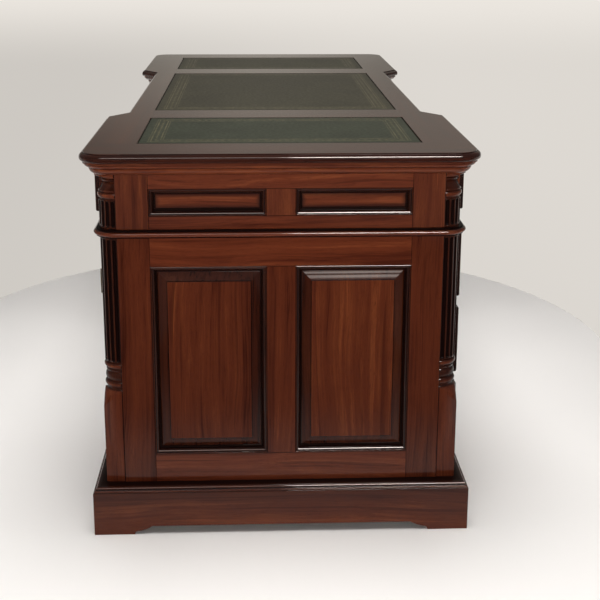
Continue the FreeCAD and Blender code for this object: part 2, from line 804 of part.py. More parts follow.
def pedestal_column():
    """A fluted quarter shaft on turned rings and a square block with a turned shoulder."""
    radius, block, base = value("column_radius"), value("column_block_height"), value("column_base_height")
    shaft_radius = radius * SHAFT_RADIUS_SHARE
    shaft_low, shaft_top = block + base, value("pedestal_height")
    outline = scaled(COLUMN_BASE_SHARES, radius, base, block)
    outline += [(shaft_radius, shaft_low), (shaft_radius, shaft_top), (0.0, shaft_top)]
    column = quarter_turning(outline)
    flute_top = shaft_top - value("flute_margin")
    column = column.cut(flutes(shaft_radius, shaft_low + value("flute_lift"), flute_top))
    shoulder = block - value("column_shoulder_drop")
    plain = Part.makeBox(radius, radius, shoulder)
    neck = square_shoulder(shoulder, block, math.hypot(radius, radius), radius)
    return column.fuse([plain, neck]).removeSplitter()


def eight_columns(shape, bottom):
    """A column in each corner of both blocks."""
    column = feature(shape)
    bind_all(column, {"Placement.Base.x": "outer_axis", "Placement.Base.y": "axis_depth",
                      "Placement.Base.z": bottom})
    pair = group(both_ways(column, "x", "block_middle"))
    return group(four_ways(pair))


def make_columns():
    """The quarter columns let into the corners of frieze and pedestals."""
    sub_part("frieze_columns", eight_columns(frieze_column(), "frieze_bottom"))
    sub_part("pedestal_columns", eight_columns(pedestal_column(), "pedestal_bottom"))


def make_pedestals():
    """The frames and inner boards of both pedestals."""
    storey = ("pedestal_bottom", "pedestal_top")
    depth = ("front_back", "side_face")
    opening = ("opening_inner", "opening_outer")
    right = corner_posts(*storey) + side_stiles(*storey)
    right += end_frame(*storey, "end_panel_low", "end_panel_high")
    foot, head = ("pedestal_bottom", "lower_low"), ("upper_high", "pedestal_top")
    for rail in (foot, head):
        right += both_ways(board(opening, depth, rail), "y")
    between = (("lower_high", "middle_low"), ("middle_high", "upper_low"))
    right += [board(opening, sides(*depth), rail) for rail in between]
    sub_part("right_pedestal_frame", group(right))
    sub_part("left_pedestal_frame", mirrored(SUB_PARTS[-1], "x"))
    inside = pedestal_boards() + pedestal_runners(between)
    sub_part("pedestal_interiors", group(both_ways(group(inside), "x")))


def pedestal_boards():
    """Floor, ceiling, partition, shelf and locating blocks of the right-hand pedestal."""
    inner = ("knee_back", "end_back")
    across = ("-front_back", "front_back")
    posts = group(corner_posts("pedestal_bottom", "pedestal_top"))
    floor = cut(board(inner, across, ("lower_low - floor_thickness", "lower_low")), posts)
    ceiling = cut(board(inner, across, ("pedestal_ceiling", "pedestal_top")), posts)
    partition = board(inner, ("drawer_stop", "cupboard_back"), ("lower_low", "pedestal_ceiling"))
    shelf_depth = ("cupboard_back", "post_inner")
    shelf = board(inner, shelf_depth, ("shelf_low", "shelf_high"))
    bearing = ("shelf_low - bearer_height", "shelf_low")
    bearers = [board(("knee_back", "knee_back + bearer_thickness"), shelf_depth, bearing),
               board(("end_back - bearer_thickness", "end_back"), shelf_depth, bearing)]
    seat = "side_face - moulding_seat - locating_clearance"
    block = board(("block_middle - locating_block_length / 2", "block_middle + locating_block_length / 2"),
                  (f"{seat} - locating_block_width", seat),
                  ("pedestal_top", "frieze_bottom - locating_clearance"))
    return [floor, ceiling, partition, shelf] + bearers + both_ways(block, "y")


def pedestal_runners(between):
    """The strips that carry and guide the drawers of the right-hand pedestal."""
    depth = ("-front_back", "drawer_stop")
    strips = []
    for low, high in between:
        carrier = board(("inner_axis", "opening_inner + runner_width"), depth, (low, high))
        strips += both_ways(carrier, "x", "block_middle")
    for low in ("lower_low", "middle_low", "upper_low"):
        guide = board(("inner_axis", "opening_inner"), depth, (low, f"{low} + guide_height"))
        strips += both_ways(guide, "x", "block_middle")
    return strips


def knob(x, y, z, turn):
    """A turned knob with its rose on a face; turn lays its axis along the face's outward direction."""
    rose = upright("Cylinder", {"Radius": "knob_rose_radius", "Height": "knob_rose_height"}, "0", "0", "0")
    neck = upright("Cylinder", {"Radius": "knob_neck_radius",
                                "Height": "knob_projection - knob_head_height / 2"}, "0", "0", "0")
    head = upright("Ellipsoid", {"Radius1": "knob_head_height / 2", "Radius2": "knob_radius",
                                 "Radius3": "knob_radius"}, "0", "0", "knob_projection - knob_head_height / 2")
    item = joined([rose, neck, head])
    item.Placement = turned("x", turn)
    return bind_all(item, {"Placement.Base.x": x, "Placement.Base.y": y, "Placement.Base.z": z})


def rounded_lip(x, z, face):
    """The overlapping plate of a drawer front, its four outer edges rounded."""
    plate = board(x, (f"-({face}) - lip_gap - lip_thickness", f"-({face}) - lip_gap"), z)
    doc.recompute()
    item = doc.addObject("Part::Fillet", "Lip")
    item.Base = plate
    front = plate.Shape.BoundBox.YMin
    radius = value("lip_round")
    item.Edges = [(index, radius, radius) for index, edge in enumerate(plate.Shape.Edges, start=1)
                  if edge.BoundBox.YLength < FLATNESS and abs(edge.BoundBox.YMin - front) < FLATNESS]
    return item


def drawer(opening, face, low, high, back, knob_places):
    """Front, box and knobs of a drawer on the drawer side, in an opening between two places."""
    left, right = opening
    middle_height = f"({low} + {high}) / 2"
    lip = rounded_lip((f"{left} - lip_overlap", f"{right} + lip_overlap"),
                      (f"{low} - lip_overlap", f"{high} + lip_overlap"), face)
    inset_back = f"-({face}) - lip_gap + inset_thickness"
    inset = board((f"{left} + drawer_clearance", f"{right} - drawer_clearance"),
                  (f"-({face}) - lip_gap", inset_back),
                  (f"{low} + drawer_clearance", f"{high} - drawer_clearance"))
    depth = (inset_back, back)
    rise = (f"{low} + runner_gap", f"{high} - box_head_gap")
    wall_left = (f"{left} + drawer_clearance", f"{left} + drawer_clearance + box_wall")
    wall_right = (f"{right} - drawer_clearance - box_wall", f"{right} - drawer_clearance")
    between = (wall_left[1], wall_right[0])
    bottom_low = f"{low} + runner_gap + box_bottom_lift"
    box = [board(wall_left, depth, rise), board(wall_right, depth, rise),
           board(between, (f"({back}) - box_wall", back), rise),
           board(between, (inset_back, f"({back}) - box_wall"), (bottom_low, f"{bottom_low} + box_bottom"))]
    knobs = [knob(place, f"-({face}) - lip_gap - lip_thickness", middle_height, QUARTER_TURN)
             for place in knob_places]
    return {"front": joined([lip, inset]), "box": group(box), "knobs": group(knobs)}


def name_pieces(name, pieces):
    """Name the pieces of a drawer or door after it."""
    for piece, item in pieces.items():
        sub_part(f"{name}_{piece}", item)


def reflected(pieces, axis):
    """The pieces of a drawer or door reflected across the desk."""
    return {piece: mirrored(item, axis) for piece, item in pieces.items()}


def make_drawers():
    """Six frieze drawers, three to a side, and three drawers in each pedestal."""
    block = ("opening_inner", "opening_outer")
    frieze_back = "-half_divider - box_back_gap"
    frieze = drawer(block, "side_face", "frieze_low", "frieze_high", frieze_back, ["block_middle"])
    centre = drawer(("-centre_opening", "centre_opening"), "centre_face", "frieze_low", "frieze_high",
                    frieze_back, ["-centre_knob_spacing / 2", "centre_knob_spacing / 2"])
    name_pieces("front_right_frieze_drawer", frieze)
    name_pieces("front_left_frieze_drawer", reflected(frieze, "x"))
    name_pieces("front_centre_frieze_drawer", centre)
    back = reflected(frieze, "y")
    name_pieces("back_right_frieze_drawer", back)
    name_pieces("back_left_frieze_drawer", reflected(back, "x"))
    name_pieces("back_centre_frieze_drawer", reflected(centre, "y"))
    for level in ("upper", "middle", "lower"):
        pieces = drawer(block, "side_face", f"{level}_low", f"{level}_high", "drawer_stop - box_back_gap",
                        ["block_middle"])
        name_pieces(f"right_{level}_drawer", pieces)
        name_pieces(f"left_{level}_drawer", reflected(pieces, "x"))


def knuckle(index, start, radius):
    """One barrel of a hinge on the pin axis, counted up from the hinge's foot."""
    low = f"{start} + {index} * (knuckle_length + knuckle_gap)"
    return upright("Cylinder", {"Radius": radius, "Height": "knuckle_length"}, "pin_place", "pin_depth", low)


def hinge_leaf(start, thick, indexes):
    """A leaf plate with the tabs and barrels that carry it on the pin."""
    plate = board(thick, ("side_face - leaf_width", "side_face"), (start, f"{start} + hinge_length"))
    pieces = [plate]
    for index in indexes:
        low = f"{start} + {index} * (knuckle_length + knuckle_gap)"
        pieces.append(board(thick, ("side_face", "pin_depth"), (low, f"{low} + knuckle_length")))
        pieces.append(knuckle(index, start, "knuckle_radius"))
    return pieces


def make_hinges(starts):
    """Fixed leaves with their pins, and the moving leaves, of the right-hand door."""
    fixed, moving = [], []
    for start in starts:
        pin = upright("Cylinder", {"Radius": "pin_radius", "Height": "hinge_length"},
                      "pin_place", "pin_depth", start)
        fixed.append(joined(hinge_leaf(start, ("opening_outer - leaf_thickness", "opening_outer"),
                                       range(0, KNUCKLES_PER_HINGE, 2)) + [pin]))
        leaf = joined(hinge_leaf(start, ("door_outer", "door_outer + leaf_thickness"),
                                 range(1, KNUCKLES_PER_HINGE, 2)))
        bore = upright("Cylinder", {"Radius": "pin_radius + pin_clearance", "Height": "hinge_length"},
                       "pin_place", "pin_depth", start)
        moving.append(cut(leaf, bore))
    return group(fixed), group(moving)


def make_doors():
    """A framed and panelled cupboard door on the back of each pedestal."""
    thick = ("door_back", "side_face")
    inner, outer = "door_inner + door_stile_width", "door_outer - door_stile_width"
    low, high = "door_low + door_rail_width", "door_high - door_rail_width"
    frame = group([board(("door_inner", inner), thick, ("door_low", "door_high")),
                   board((outer, "door_outer"), thick, ("door_low", "door_high")),
                   board((inner, outer), thick, ("door_low", low)),
                   board((inner, outer), thick, (high, "door_high"))])
    panel = framed_panel(raised_panel("door_panel_width", "door_panel_rise"),
                         "door_panel_width", "door_panel_rise")
    bind_all(panel, {"Placement.Base.x": "block_middle", "Placement.Base.y": "door_back",
                     "Placement.Base.z": low})
    fixed, moving = make_hinges(("door_low + hinge_inset", "door_high - hinge_inset - hinge_length"))
    pull = knob("door_inner + door_knob_inset", "side_face", "(door_low + door_high) / 2", -QUARTER_TURN)
    right = {"frame": frame, "panel": panel, "hinges": moving, "knob": pull}
    name_pieces("right_door", right)
    name_pieces("left_door", reflected(right, "x"))
    sub_part("door_hinge_pins", group(both_ways(fixed, "x")))


def bracket_board(start, finish, inward, start_cut, finish_cut):
    """A plinth board cut away between its feet, mitred at both ends."""
    along = (finish - start).normalize()
    length = (finish - start).Length
    foot, curve, arch = value("foot_width"), value("foot_curve_length"), value("arch_height")
    first, rise, hollow = scaled(FOOT_SHARES, curve, arch)

    def left(point):
        return (foot + point[0], point[1])

    def right(point):
        return (length - foot - point[0], point[1])
    outline = [(0.0, 0.0), left(first), tuple(map(left, rise)), tuple(map(left, hollow)), right(hollow[1]),
               (right(hollow[0]), right(rise[1])), (right(rise[0]), right(first)), (length, 0.0),
               (length, value("plinth_board_height")), (0.0, value("plinth_board_height"))]
    wire = outline_wire(outline, lambda run, height: start + along * run + UP * height)
    thickness = value("plinth_thickness")
    blank = Part.Face(wire).extrude(inward * thickness)
    return mitred(blank, start, finish, start_cut, finish_cut, thickness)


def make_plinths():
    """A bracket-footed plinth with a moulded ledge under each pedestal."""
    knee, end, side = value("plinth_knee"), value("plinth_end"), value("plinth_side")
    seats = {"front": "plinth_side_projection", "back": "plinth_side_projection",
             "end": "plinth_end_projection", "knee": "plinth_end_projection"}
    outline = scaled(PLINTH_SHARES, value("plinth_moulding_step"), value("plinth_moulding_height"),
                     value("plinth_board_height"))

    def profile_to(run):
        seat = value(seats[run]) + value("plinth_seat")
        return outline + [(seat, value("pedestal_bottom")), (seat, value("plinth_board_height"))]
    ledge = rectangle_runs(knee, end, -side, side, profile_to)
    corners = [FreeCAD.Vector(x, y, 0) for x, y in ((knee, -side), (end, -side), (end, side), (knee, side))]
    inwards = [FreeCAD.Vector(x, y, 0) for x, y in ((0, 1), (-1, 0), (0, -1), (1, 0))]
    boards = []
    for index, inward in enumerate(inwards):
        following = (index + 1) % len(inwards)
        boards.append(bracket_board(corners[index], corners[following], inward,
                                    mitre(inwards[index - 1], inward), mitre(inward, inwards[following])))
    sub_part("right_plinth", feature(Part.makeCompound(boards + ledge)))
    sub_part("left_plinth", mirrored(SUB_PARTS[-1], "x"))


def write_parts():
    """Check the whole document, then write one file per sub-part."""
    doc.recompute()
    failed = [item.Label for item in doc.Objects if {"Invalid", "Error"} & set(item.State)]
    if failed:
        raise RuntimeError("these objects failed: " + ", ".join(failed))
    for item in SUB_PARTS:
        if item.Shape.isNull() or not item.Shape.isValid():
            raise RuntimeError(f"{item.Label} has no valid shape")
        if min(solid.Volume for solid in item.Shape.Solids) <= 0:
            raise RuntimeError(f"{item.Label} has a solid that is inside out")
    os.makedirs("parts", exist_ok=True)
    for item in SUB_PARTS:
        item.Shape.exportStep(f"parts/{item.Label}.step")


make_top()
make_cornice()
make_frieze_frame()
make_frieze_runners()
make_waist()
make_pedestals()
make_panels()
make_columns()
make_plinths()
make_drawers()
make_doors()
write_parts()
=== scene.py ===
import json
import math

import bmesh
import bpy
from mathutils import Matrix, Vector


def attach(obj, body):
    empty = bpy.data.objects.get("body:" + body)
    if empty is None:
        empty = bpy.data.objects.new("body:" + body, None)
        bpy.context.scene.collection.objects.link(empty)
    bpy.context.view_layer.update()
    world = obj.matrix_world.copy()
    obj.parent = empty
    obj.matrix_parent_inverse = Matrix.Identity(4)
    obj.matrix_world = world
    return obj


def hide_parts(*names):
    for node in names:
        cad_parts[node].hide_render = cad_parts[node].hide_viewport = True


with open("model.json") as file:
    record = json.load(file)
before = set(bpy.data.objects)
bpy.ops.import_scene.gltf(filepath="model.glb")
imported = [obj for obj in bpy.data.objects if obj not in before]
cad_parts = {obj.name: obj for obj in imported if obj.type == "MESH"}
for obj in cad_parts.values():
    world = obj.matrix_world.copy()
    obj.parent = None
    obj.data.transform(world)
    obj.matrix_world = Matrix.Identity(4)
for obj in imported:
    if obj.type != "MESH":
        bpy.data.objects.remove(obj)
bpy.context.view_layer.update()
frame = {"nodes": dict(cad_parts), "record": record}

bl_info = {
    "name": "Pedestal Desk",
    "version": (1, 0, 0),
    "blender": (4, 5, 0),
    "location": "3D View > Sidebar > Desk",
    "description": "Models and finishes the pieces of a mahogany pedestal desk on its packed frame",
    "category": "Object",
}

# Places in millimetres. X runs along the desk, the drawer side faces -Y, the cupboard side +Y.
END_FACE, END_BACK = 845.0, 825.0
KNEE_FACE, KNEE_BACK = 433.0, 449.0
SIDE_FACE, SIDE_BACK = 348.0, 294.0
CENTRE_FACE, CENTRE_BACK = 307.0, 287.0
OUTER_AXIS, INNER_AXIS, AXIS_DEPTH = 803.5, 474.5, 314.0
POST_INNER, HALF_MUNTIN, HALF_DIVIDER, PARTITION_THICK = 252.0, 28.0, 9.0, 20.0
BETWEEN_POSTS = (-POST_INNER, POST_INNER)
OPENING_INNER, OPENING_OUTER, CENTRE_OPENING = 489.0, 789.0, 409.0
OPENING = (OPENING_INNER, OPENING_OUTER)
BLOCK_MIDDLE = sum(OPENING) / 2
PEDESTAL = (101.0, 610.0)
FRIEZE, DUST_BOARD_TOP = (625.0, 737.0), 631.0
TOP = (763.0, 780.0)
CORNICE_SETBACK, CORNICE_FOOT, CORNICE_WIDTH = 6.0, 758.5, 47.0
WAIST, WAIST_WIDTH = (616.9, 617.1), 31.0
FRIEZE_PANEL, END_PANEL, PANEL_SETBACK, MOULDING_WIDTH = (651.0, 704.0), (160.0, 550.5), 1.4, 11.0
FRIEZE_DRAWER = (659.0, 717.0)
DRAWER_LEVELS = {"upper": (480.0, 594.0), "middle": (319.0, 440.0), "lower": (123.0, 279.0)}
DRAWER_RAILS = tuple((DRAWER_LEVELS[below][1], DRAWER_LEVELS[above][0])
                     for below, above in (("lower", "middle"), ("middle", "upper")))
DOOR_X, DOOR_Z, DOOR_BACK, DOOR_STILE, DOOR_RAIL = (491.0, 787.0), (125.0, 592.0), 328.0, 50.0, 55.0
PLINTH_X, PLINTH_SIDE, PLINTH_TOP, PLINTH_WALL = (402.5, 875.5), 376.5, 90.0, 20.0
PLINTH_LEDGE, FOOT_LENGTH, FOOT_CURVE, ARCH_TOP = (48.5, 46.5), 81.0, 35.0, 17.5
LEATHER_ENDS, LEATHER_CENTRE, LEATHER_HALF, LEATHER_GAP = (465.0, 783.0), 355.0, 276.5, 0.9
COLUMN_RADIUS, CAPITAL_HEIGHT, BASE_HEIGHT, JOINT_LINE = 37.5, 57.0, 252.0, 1.8

# Drawers: a front with a lip over its opening, an inner front behind it and a box of boards
LIP, FRONT_SEAT, FRONT_THICK, FRONT_RIM, INNER_FRONT = 8.0, 0.3, 9.2, 3.0, 16.0
SIDE_PLAY, FOOT_PLAY, HEAD_PLAY, BOX_WALL, BOX_BOTTOM = 1.0, 0.3, 4.0, 10.0, (6.3, 12.3)
FRIEZE_BOX_BACK, PEDESTAL_BOX_BACK, CENTRE_KNOB = -23.0, 66.0, 210.0

# Runners under the drawers, guides beside them, kickers above them, and the boards inside the pedestals
RUNNER_THICK, RUNNER_REACH, GUIDE_HEIGHT, KICKER_THICK = 14.0, 20.0, 18.0, 10.0
FLOOR_BOARD, CEILING_BOARD = 14.0, 10.0
CUPBOARD_BACK, SHELF, BEARER_THICK, BEARER_FOOT = (80.0, 92.0), (363.0, 377.0), 12.0, 347.0
LOCATING_BLOCK = ((579.0, 699.0), (299.5, 329.5), (610.0, 624.5))
OVERRUN = 50.0  # how far a cutter passes the face that it cuts
END_RUN = 800.0  # beyond this place a moulding that goes round the desk crosses its end
CANT_SHIFT = 0.318  # how far the ends of a cant move along for each step inwards

# End, side, centre, corner radius and the two ends of the cants, all at the outermost edge
TOP_PLAN = (900.0, 377.0, 336.0, 50.0, 380.0, 438.0)
WAIST_PLAN = (858.0, 361.0, 320.0, 47.0, 401.6, 459.6)

# Moulding outlines as (inwards, along the face's own direction, glaze) steps from the widest section; the
# glaze value is dark glaze and painted shade together, darkest in quirks and hollows
CORNICE_STEPS = ((2.5, 0.0, 0.8), (0.35, 2.6, 0.1), (1.7, 2.3, 0.0), (2.5, 1.5, 0.0), (2.45, 0.6, 0.1),
                 (1.5, 0.0, 0.95), (0.0, 2.5, 0.15), (0.6, 2.3, 0.0), (1.7, 3.2, 0.0), (2.9, 2.9, 0.0),
                 (3.3, 2.2, 0.1), (3.5, 1.4, 0.8))
# The ledge above the waist bead is painted fully dark, a painted shadow over the bead.
WAIST_UP = ((0.4, 1.5, 0.0), (1.1, 1.5, 0.1), (1.6, 1.2, 0.4), (1.9, 0.7, 1.0), (0.0, 1.0, 1.0),
            (2.0, 0.0, 1.0), (0.0, 1.9, 1.0))
WAIST_DOWN = ((0.4, 1.5, 0.0), (1.1, 1.5, 0.1), (1.6, 1.2, 0.4), (1.9, 0.7, 0.9), (0.0, 2.0, 1.0))
# The quirks and hollows of the panel mouldings take painted shade, and the outer half of the bead is painted
# dark too.
PANEL_STEPS = ((0.32, 0.52, 0.95), (0.5, 0.33, 0.95), (0.38, 0.05, 0.5), (0.5, -0.12, 0.4),
               (0.4, -0.26, 0.7), (0.32, -0.42, 0.92), (0.0, -1.1, 1.0), (2.2, -0.9, 0.75),
               (2.0, -1.5, 0.8), (1.4, -2.2, 0.92), (1.0, -2.95, 1.0), (0.0, -2.05, 1.0),
               (1.98, 0.0, 0.95), (0.0, -2.0, 1.0))
FIELD_STEPS = ((0.3, 0.0, 1.0), (2.6, 1.05, 0.66), (5.0, 1.87, 0.6), (5.0, 1.7, 0.55), (4.4, 1.42, 0.6),
               (3.0, 0.96, 0.9), (0.2, 1.1, 0.5), (0.4, 0.4, 0.0), (1.6, 0.0, 0.0))
SUNK_STEPS = ((0.6, 0.0, 1.0), (3.2, 0.0, 0.6), (5.0, 0.0, 0.12), (3.0, 0.0, 0.0))
# The plinth's ledge top is painted near black, a painted shadow and a painted dark reflection of the carcass
# above it.
PLINTH_STEPS = ((1.8, 0.0, 0.9), (0.25, 1.7, 0.5), (0.6, 1.6, 0.4), (1.1, 0.8, 0.5), (1.3, 0.3, 0.9),
                (0.5, 2.2, 0.9), (0.75, 1.7, 0.6), (1.3, 1.4, 0.6), (1.9, 0.9, 0.8), (2.5, 0.4, 0.95),
                (12.0, 0.0, 1.0), (4.5, 0.0, 1.0))

# The shoulder of a foot's arch as (run, height left) steps, and a knob's rings as (radius, level)
ARCH_STEPS = ((6.0, 14.0), (7.3, 10.85), (8.4, 8.5), (8.4, 6.85), (2.4, 5.7), (1.4, 3.9), (1.1, 0.0))
KNOB_RINGS = ((12.0, 1.8), (11.2, 2.7), (9.0, 3.0), (8.0, 4.0), (7.8, 5.2), (9.0, 6.0), (11.5, 6.8),
              (14.4, 8.3), (16.3, 10.1), (17.0, 12.0), (16.3, 13.9), (14.4, 15.7), (11.5, 17.1), (8.0, 18.2),
              (4.0, 18.8), (1.2, 19.0))
KNOB_NECK = (9.5, 8.0)  # the rings of the neck are narrower and lower than this

# How each leather's colour is scaled from the dye, in red, green and blue
LEATHER_TINTS = (("left", (1.0, 1.0, 1.0)), ("centre", (1.33, 0.99, 0.92)), ("right", (1.55, 1.19, 1.03)))

# Stage, in metres: lamps as (power setting, place, aim, size, spread in degrees, whether it is a card)
LAMPS = {"overhead_lamp": ("overhead", (-0.85, 0.0, 3.3), (-0.85, 0.0, 0.4), (2.6, 1.5), 95, False),
         "front_lamp": ("front", (-4.2, 0.4, 1.2), (-0.85, 0.0, 1.05), (1.8, 0.8), 44, False),
         "left_card": ("left_card", (-2.9, 0.65, 2.9), (-0.9, 0.3, 0.4), (1.5, 0.5), 40, True),
         "right_card": ("right_card", (-2.9, -0.85, 2.9), (-0.9, -0.5, 0.4), (1.5, 0.5), 40, True),
         "upper_pane": ("window", (-4.2, -0.46, 2.03), (-0.84, -0.14, 0.55), (0.7, 0.14), 20, True),
         "lower_pane": ("window", (-4.2, -0.46, 1.765), (-0.84, -0.14, 0.55), (0.7, 0.14), 20, True),
         "left_lamp": ("left", (-0.8, 3.8, 1.9), (0.0, 0.3, 0.5), (1.8, 1.0), 60, False),
         "right_lamp": ("right", (-0.8, -3.8, 1.9), (0.0, -0.3, 0.5), (1.8, 1.0), 60, False)}
CARD_COLOUR = (1.0, 0.9, 0.83)
FLOOR_CENTRE, FLOOR_RADIUS, FLOOR_RUN, FLOOR_THICK = (0.233, 0.011, 0.0), 0.992, 2.6, 0.012
WALL_CENTRE, WALL_SIZE, WALL_HEIGHT, WALL_ROUND = (3.0, 0.0, -0.0121), (8.0, 14.0), 5.0, 1.2
CAMERA_PLACE, CAMERA_YAW, CAMERA_PITCH, CAMERA_ROLL = (-2.974, 0.05126, 1.1728), 0.0410, 0.2571, 0.0026
CAMERA_LENS, CAMERA_SENSOR, CAMERA_SHIFT = 69.03, 36.0, -0.1083

UP, DOWN = (0, 0, 1), (0, 0, -1)
GRAIN_X, GRAIN_Y, GRAIN_Z = 0, 1, 2
GRAIN_TURNS = {"lengthwise": (0.0, 0.0, 0.0), "crosswise": (0.0, 0.0, math.pi / 2),
               "upright": (0.0, math.pi / 2, 0.0)}
BEVEL_LIMIT = 24.5  # degrees: the bevels of a panel meet at 25 to 30, and their mitres stay sharp
SAME_DIRECTION, SAME_PLACE = 0.99, 1e-6  # cosine of the angle; metres
GOLDEN_SHARE = 0.618034
BODY_OF = {node: body for body, nodes in frame["record"]["behaviour"]["bodies"].items() for node in nodes}


def colour_property(name, description, default):
    return bpy.props.FloatVectorProperty(name=name, description=description, default=default, size=3,
                                         subtype="COLOR", min=0.0, max=1.0)


def length_property(name, description, default):
    return bpy.props.FloatProperty(name=name, description=description, default=default, min=0.0,
                                   unit="LENGTH", precision=4)


def power_property(name, description, default):
    return bpy.props.FloatProperty(name=name, description=description, default=default, min=0.0,
                                   unit="POWER", precision=3)


class DeskSizes(bpy.types.PropertyGroup):
    arris: length_property("Arris", "How far the sharp edges of boards are eased", 0.0005)
    top_upper_round: length_property("Top upper round", "Rounding of the upper edge of the top", 0.008)
    top_lower_round: length_property("Top lower round", "Rounding of the lower edge of the top", 0.005)
    top_fillet: length_property("Top fillet", "Height of the small step above the upper round", 0.002)
    plinth_arris: length_property("Plinth arris", "How far the sharp edges of the plinths are eased", 0.0006)
    lip_round: length_property("Drawer lip round", "Rounding round the edge of a drawer front", 0.004)
    leather_bed: length_property("Leather bed", "How deep the leathers are let into the top", 0.0018)
    leather_sink: length_property("Leather sink", "How far the leathers lie below the wood", 0.0003)
    leather_round: length_property("Leather round", "Rounding of the upper edge of the leathers", 0.001)
    # The dark edge is partly blackened hide and partly painted shadow of the groove round each leather.
    leather_edge: length_property("Leather edge", "Width of the blackened edge of the leathers", 0.0014)
    border_outer: length_property("Outer tooled line", "Distance of the outer gold line from the edge", 0.024)
    border_inner: length_property("Inner tooled line", "Distance of the inner gold line from the edge", 0.042)


class DeskFinish(bpy.types.PropertyGroup):
    wood_dark: colour_property("Mahogany dark", "Darkest streaks of the polished wood",
                               (0.034, 0.0062, 0.0028))
    wood_mid: colour_property("Mahogany", "Main colour of the polished wood", (0.088, 0.0185, 0.0072))
    wood_light: colour_property("Mahogany light", "Lightest streaks of the polished wood",
                                (0.158, 0.040, 0.0135))
    # The glaze colour also serves as painted shade, laid in hollows, on shaded edges and on ledges.
    glaze: colour_property("Glaze", "Dark glaze left in hollows and corners", (0.0055, 0.0018, 0.0014))
    leather: colour_property("Leather", "Dyed writing leather", (0.0180, 0.0222, 0.0132))
    gold: colour_property("Tooling", "Worn gold of the tooled border", (0.098, 0.083, 0.038))
    lining: colour_property("Drawer lining", "Pale wood of the drawer boxes", (0.40, 0.27, 0.15))
    inner: colour_property("Inner wood", "Plain wood of the runners and inner boards", (0.23, 0.125, 0.062))
    brass: colour_property("Brass", "Aged brass of the hinges", (0.20, 0.125, 0.05))


class DeskStage(bpy.types.PropertyGroup):
    floor: colour_property("Floor", "Pale round-ended floor", (0.89, 0.86, 0.83))
    wall: colour_property("Backdrop", "Pale backdrop behind and round the floor", (0.71, 0.675, 0.63))
    surround: colour_property("Surround", "Dim room that lights and mirrors round the stage",
                              (0.16, 0.155, 0.15))
    overhead: power_property("Overhead light", "Power of the lamp above", 36.0)
    front: power_property("Front light", "Power of the lamp over the camera", 10.8)
    left_card: power_property("Left card", "Power of the card mirrored in the left edges", 1.3)
    right_card: power_property("Right card", "Power of the card mirrored in the right edges", 9.8)
    window: power_property("Window pane", "Power of each pane mirrored in the panel bevels", 0.025)
    left: power_property("Left light", "Power of the lamp on the left", 3.0)
    right: power_property("Right light", "Power of the lamp on the right", 3.4)


def metres(lengths):
    """Millimetres to metres."""
    return tuple(length * 0.001 for length in lengths)


def clear_selection():
    """Leave edit mode and deselect everything."""
    if bpy.context.object is not None and bpy.context.object.mode != "OBJECT":
        bpy.ops.object.mode_set(mode="OBJECT")
    bpy.ops.object.select_all(action="DESELECT")


def choose(piece):
    """Make one object the only selected and active one, in object mode."""
    clear_selection()
    piece.select_set(True)
    bpy.context.view_layer.objects.active = piece


def open_mesh(piece):
    """Choose one object and open its mesh, all of it selected."""
    choose(piece)
    bpy.ops.object.mode_set(mode="EDIT")
    bpy.ops.mesh.select_all(action="SELECT")


def add_block(low, high):
    """A cube between two corners in millimetres."""
    low, high = Vector(metres(low)), Vector(metres(high))
    bpy.ops.mesh.primitive_cube_add(size=1.0, location=(low + high) / 2, scale=high - low)


def start_block(name, low, high):
    """A new object with one cube between two corners, open in edit mode."""
    clear_selection()
    add_block(low, high)
    bpy.ops.object.transform_apply()
    piece = bpy.context.object
    piece.name = piece.data.name = name
    bpy.ops.object.mode_set(mode="EDIT")
    return piece


def pick(piece, kind, wanted):
    """Select the vertices, edges or faces of the open mesh that a test on the element accepts."""
    bpy.ops.mesh.select_mode(type=kind)
    bpy.ops.mesh.select_all(action="DESELECT")
    mesh = bmesh.from_edit_mesh(piece.data)
    elements = {"VERT": mesh.verts, "EDGE": mesh.edges, "FACE": mesh.faces}[kind]
    found = 0
    for element in elements:
        if wanted(element):
            element.select_set(True)
            found += 1
    mesh.select_flush_mode()
    bmesh.update_edit_mesh(piece.data)
    if not found:
        raise RuntimeError(f"{piece.name}: nothing to select")


def pick_facing(piece, direction):
    """Select the faces of the open mesh that look along a direction."""
    facing = Vector(direction)
    pick(piece, "FACE", lambda face: face.normal.dot(facing) > SAME_DIRECTION)


def pick_edges_at(piece, axis, level):
    """Select the edges of the open mesh that lie at one place along an axis."""
    pick(piece, "EDGE", lambda edge: all(abs(vertex.co[axis] - level) < SAME_PLACE for vertex in edge.verts))


def slice_at(axis, *places):
    """Cut the open mesh across at places along an axis, in millimetres, and at their reflections."""
    for place in places:
        for sign in (1, -1):
            at, across = [0.0] * 3, [0.0] * 3
            at[axis], across[axis] = sign * place * 0.001, 1.0
            bpy.ops.mesh.select_all(action="SELECT")
            bpy.ops.mesh.bisect(plane_co=at, plane_no=across)


def draw_out(move):
    """Extrude the selection by a move."""
    bpy.ops.mesh.extrude_region_move(TRANSFORM_OT_translate={"value": move})


def round_edges(size, segments):
    """Bevel the selected edges of the open mesh."""
    bpy.ops.mesh.bevel(offset=size, segments=segments, affect="EDGES")


def write_values(piece, kind, name, value_of):
    """Write a rule's values to the vertices or faces of the open mesh; None leaves an element as it is."""
    mesh = bmesh.from_edit_mesh(piece.data)
    elements = {"VERT": mesh.verts, "FACE": mesh.faces}[kind]
    layer = elements.layers.float.get(name) or elements.layers.float.new(name)
    for element in elements:
        value = value_of(element)
        if value is not None:
            element[layer] = value
    bmesh.update_edit_mesh(piece.data)


def paint(piece, glaze):
    """Write a value of dark glaze and painted shade to the selected vertices of the open mesh."""
    write_values(piece, "VERT", "glaze", lambda vertex: glaze if vertex.select else None)


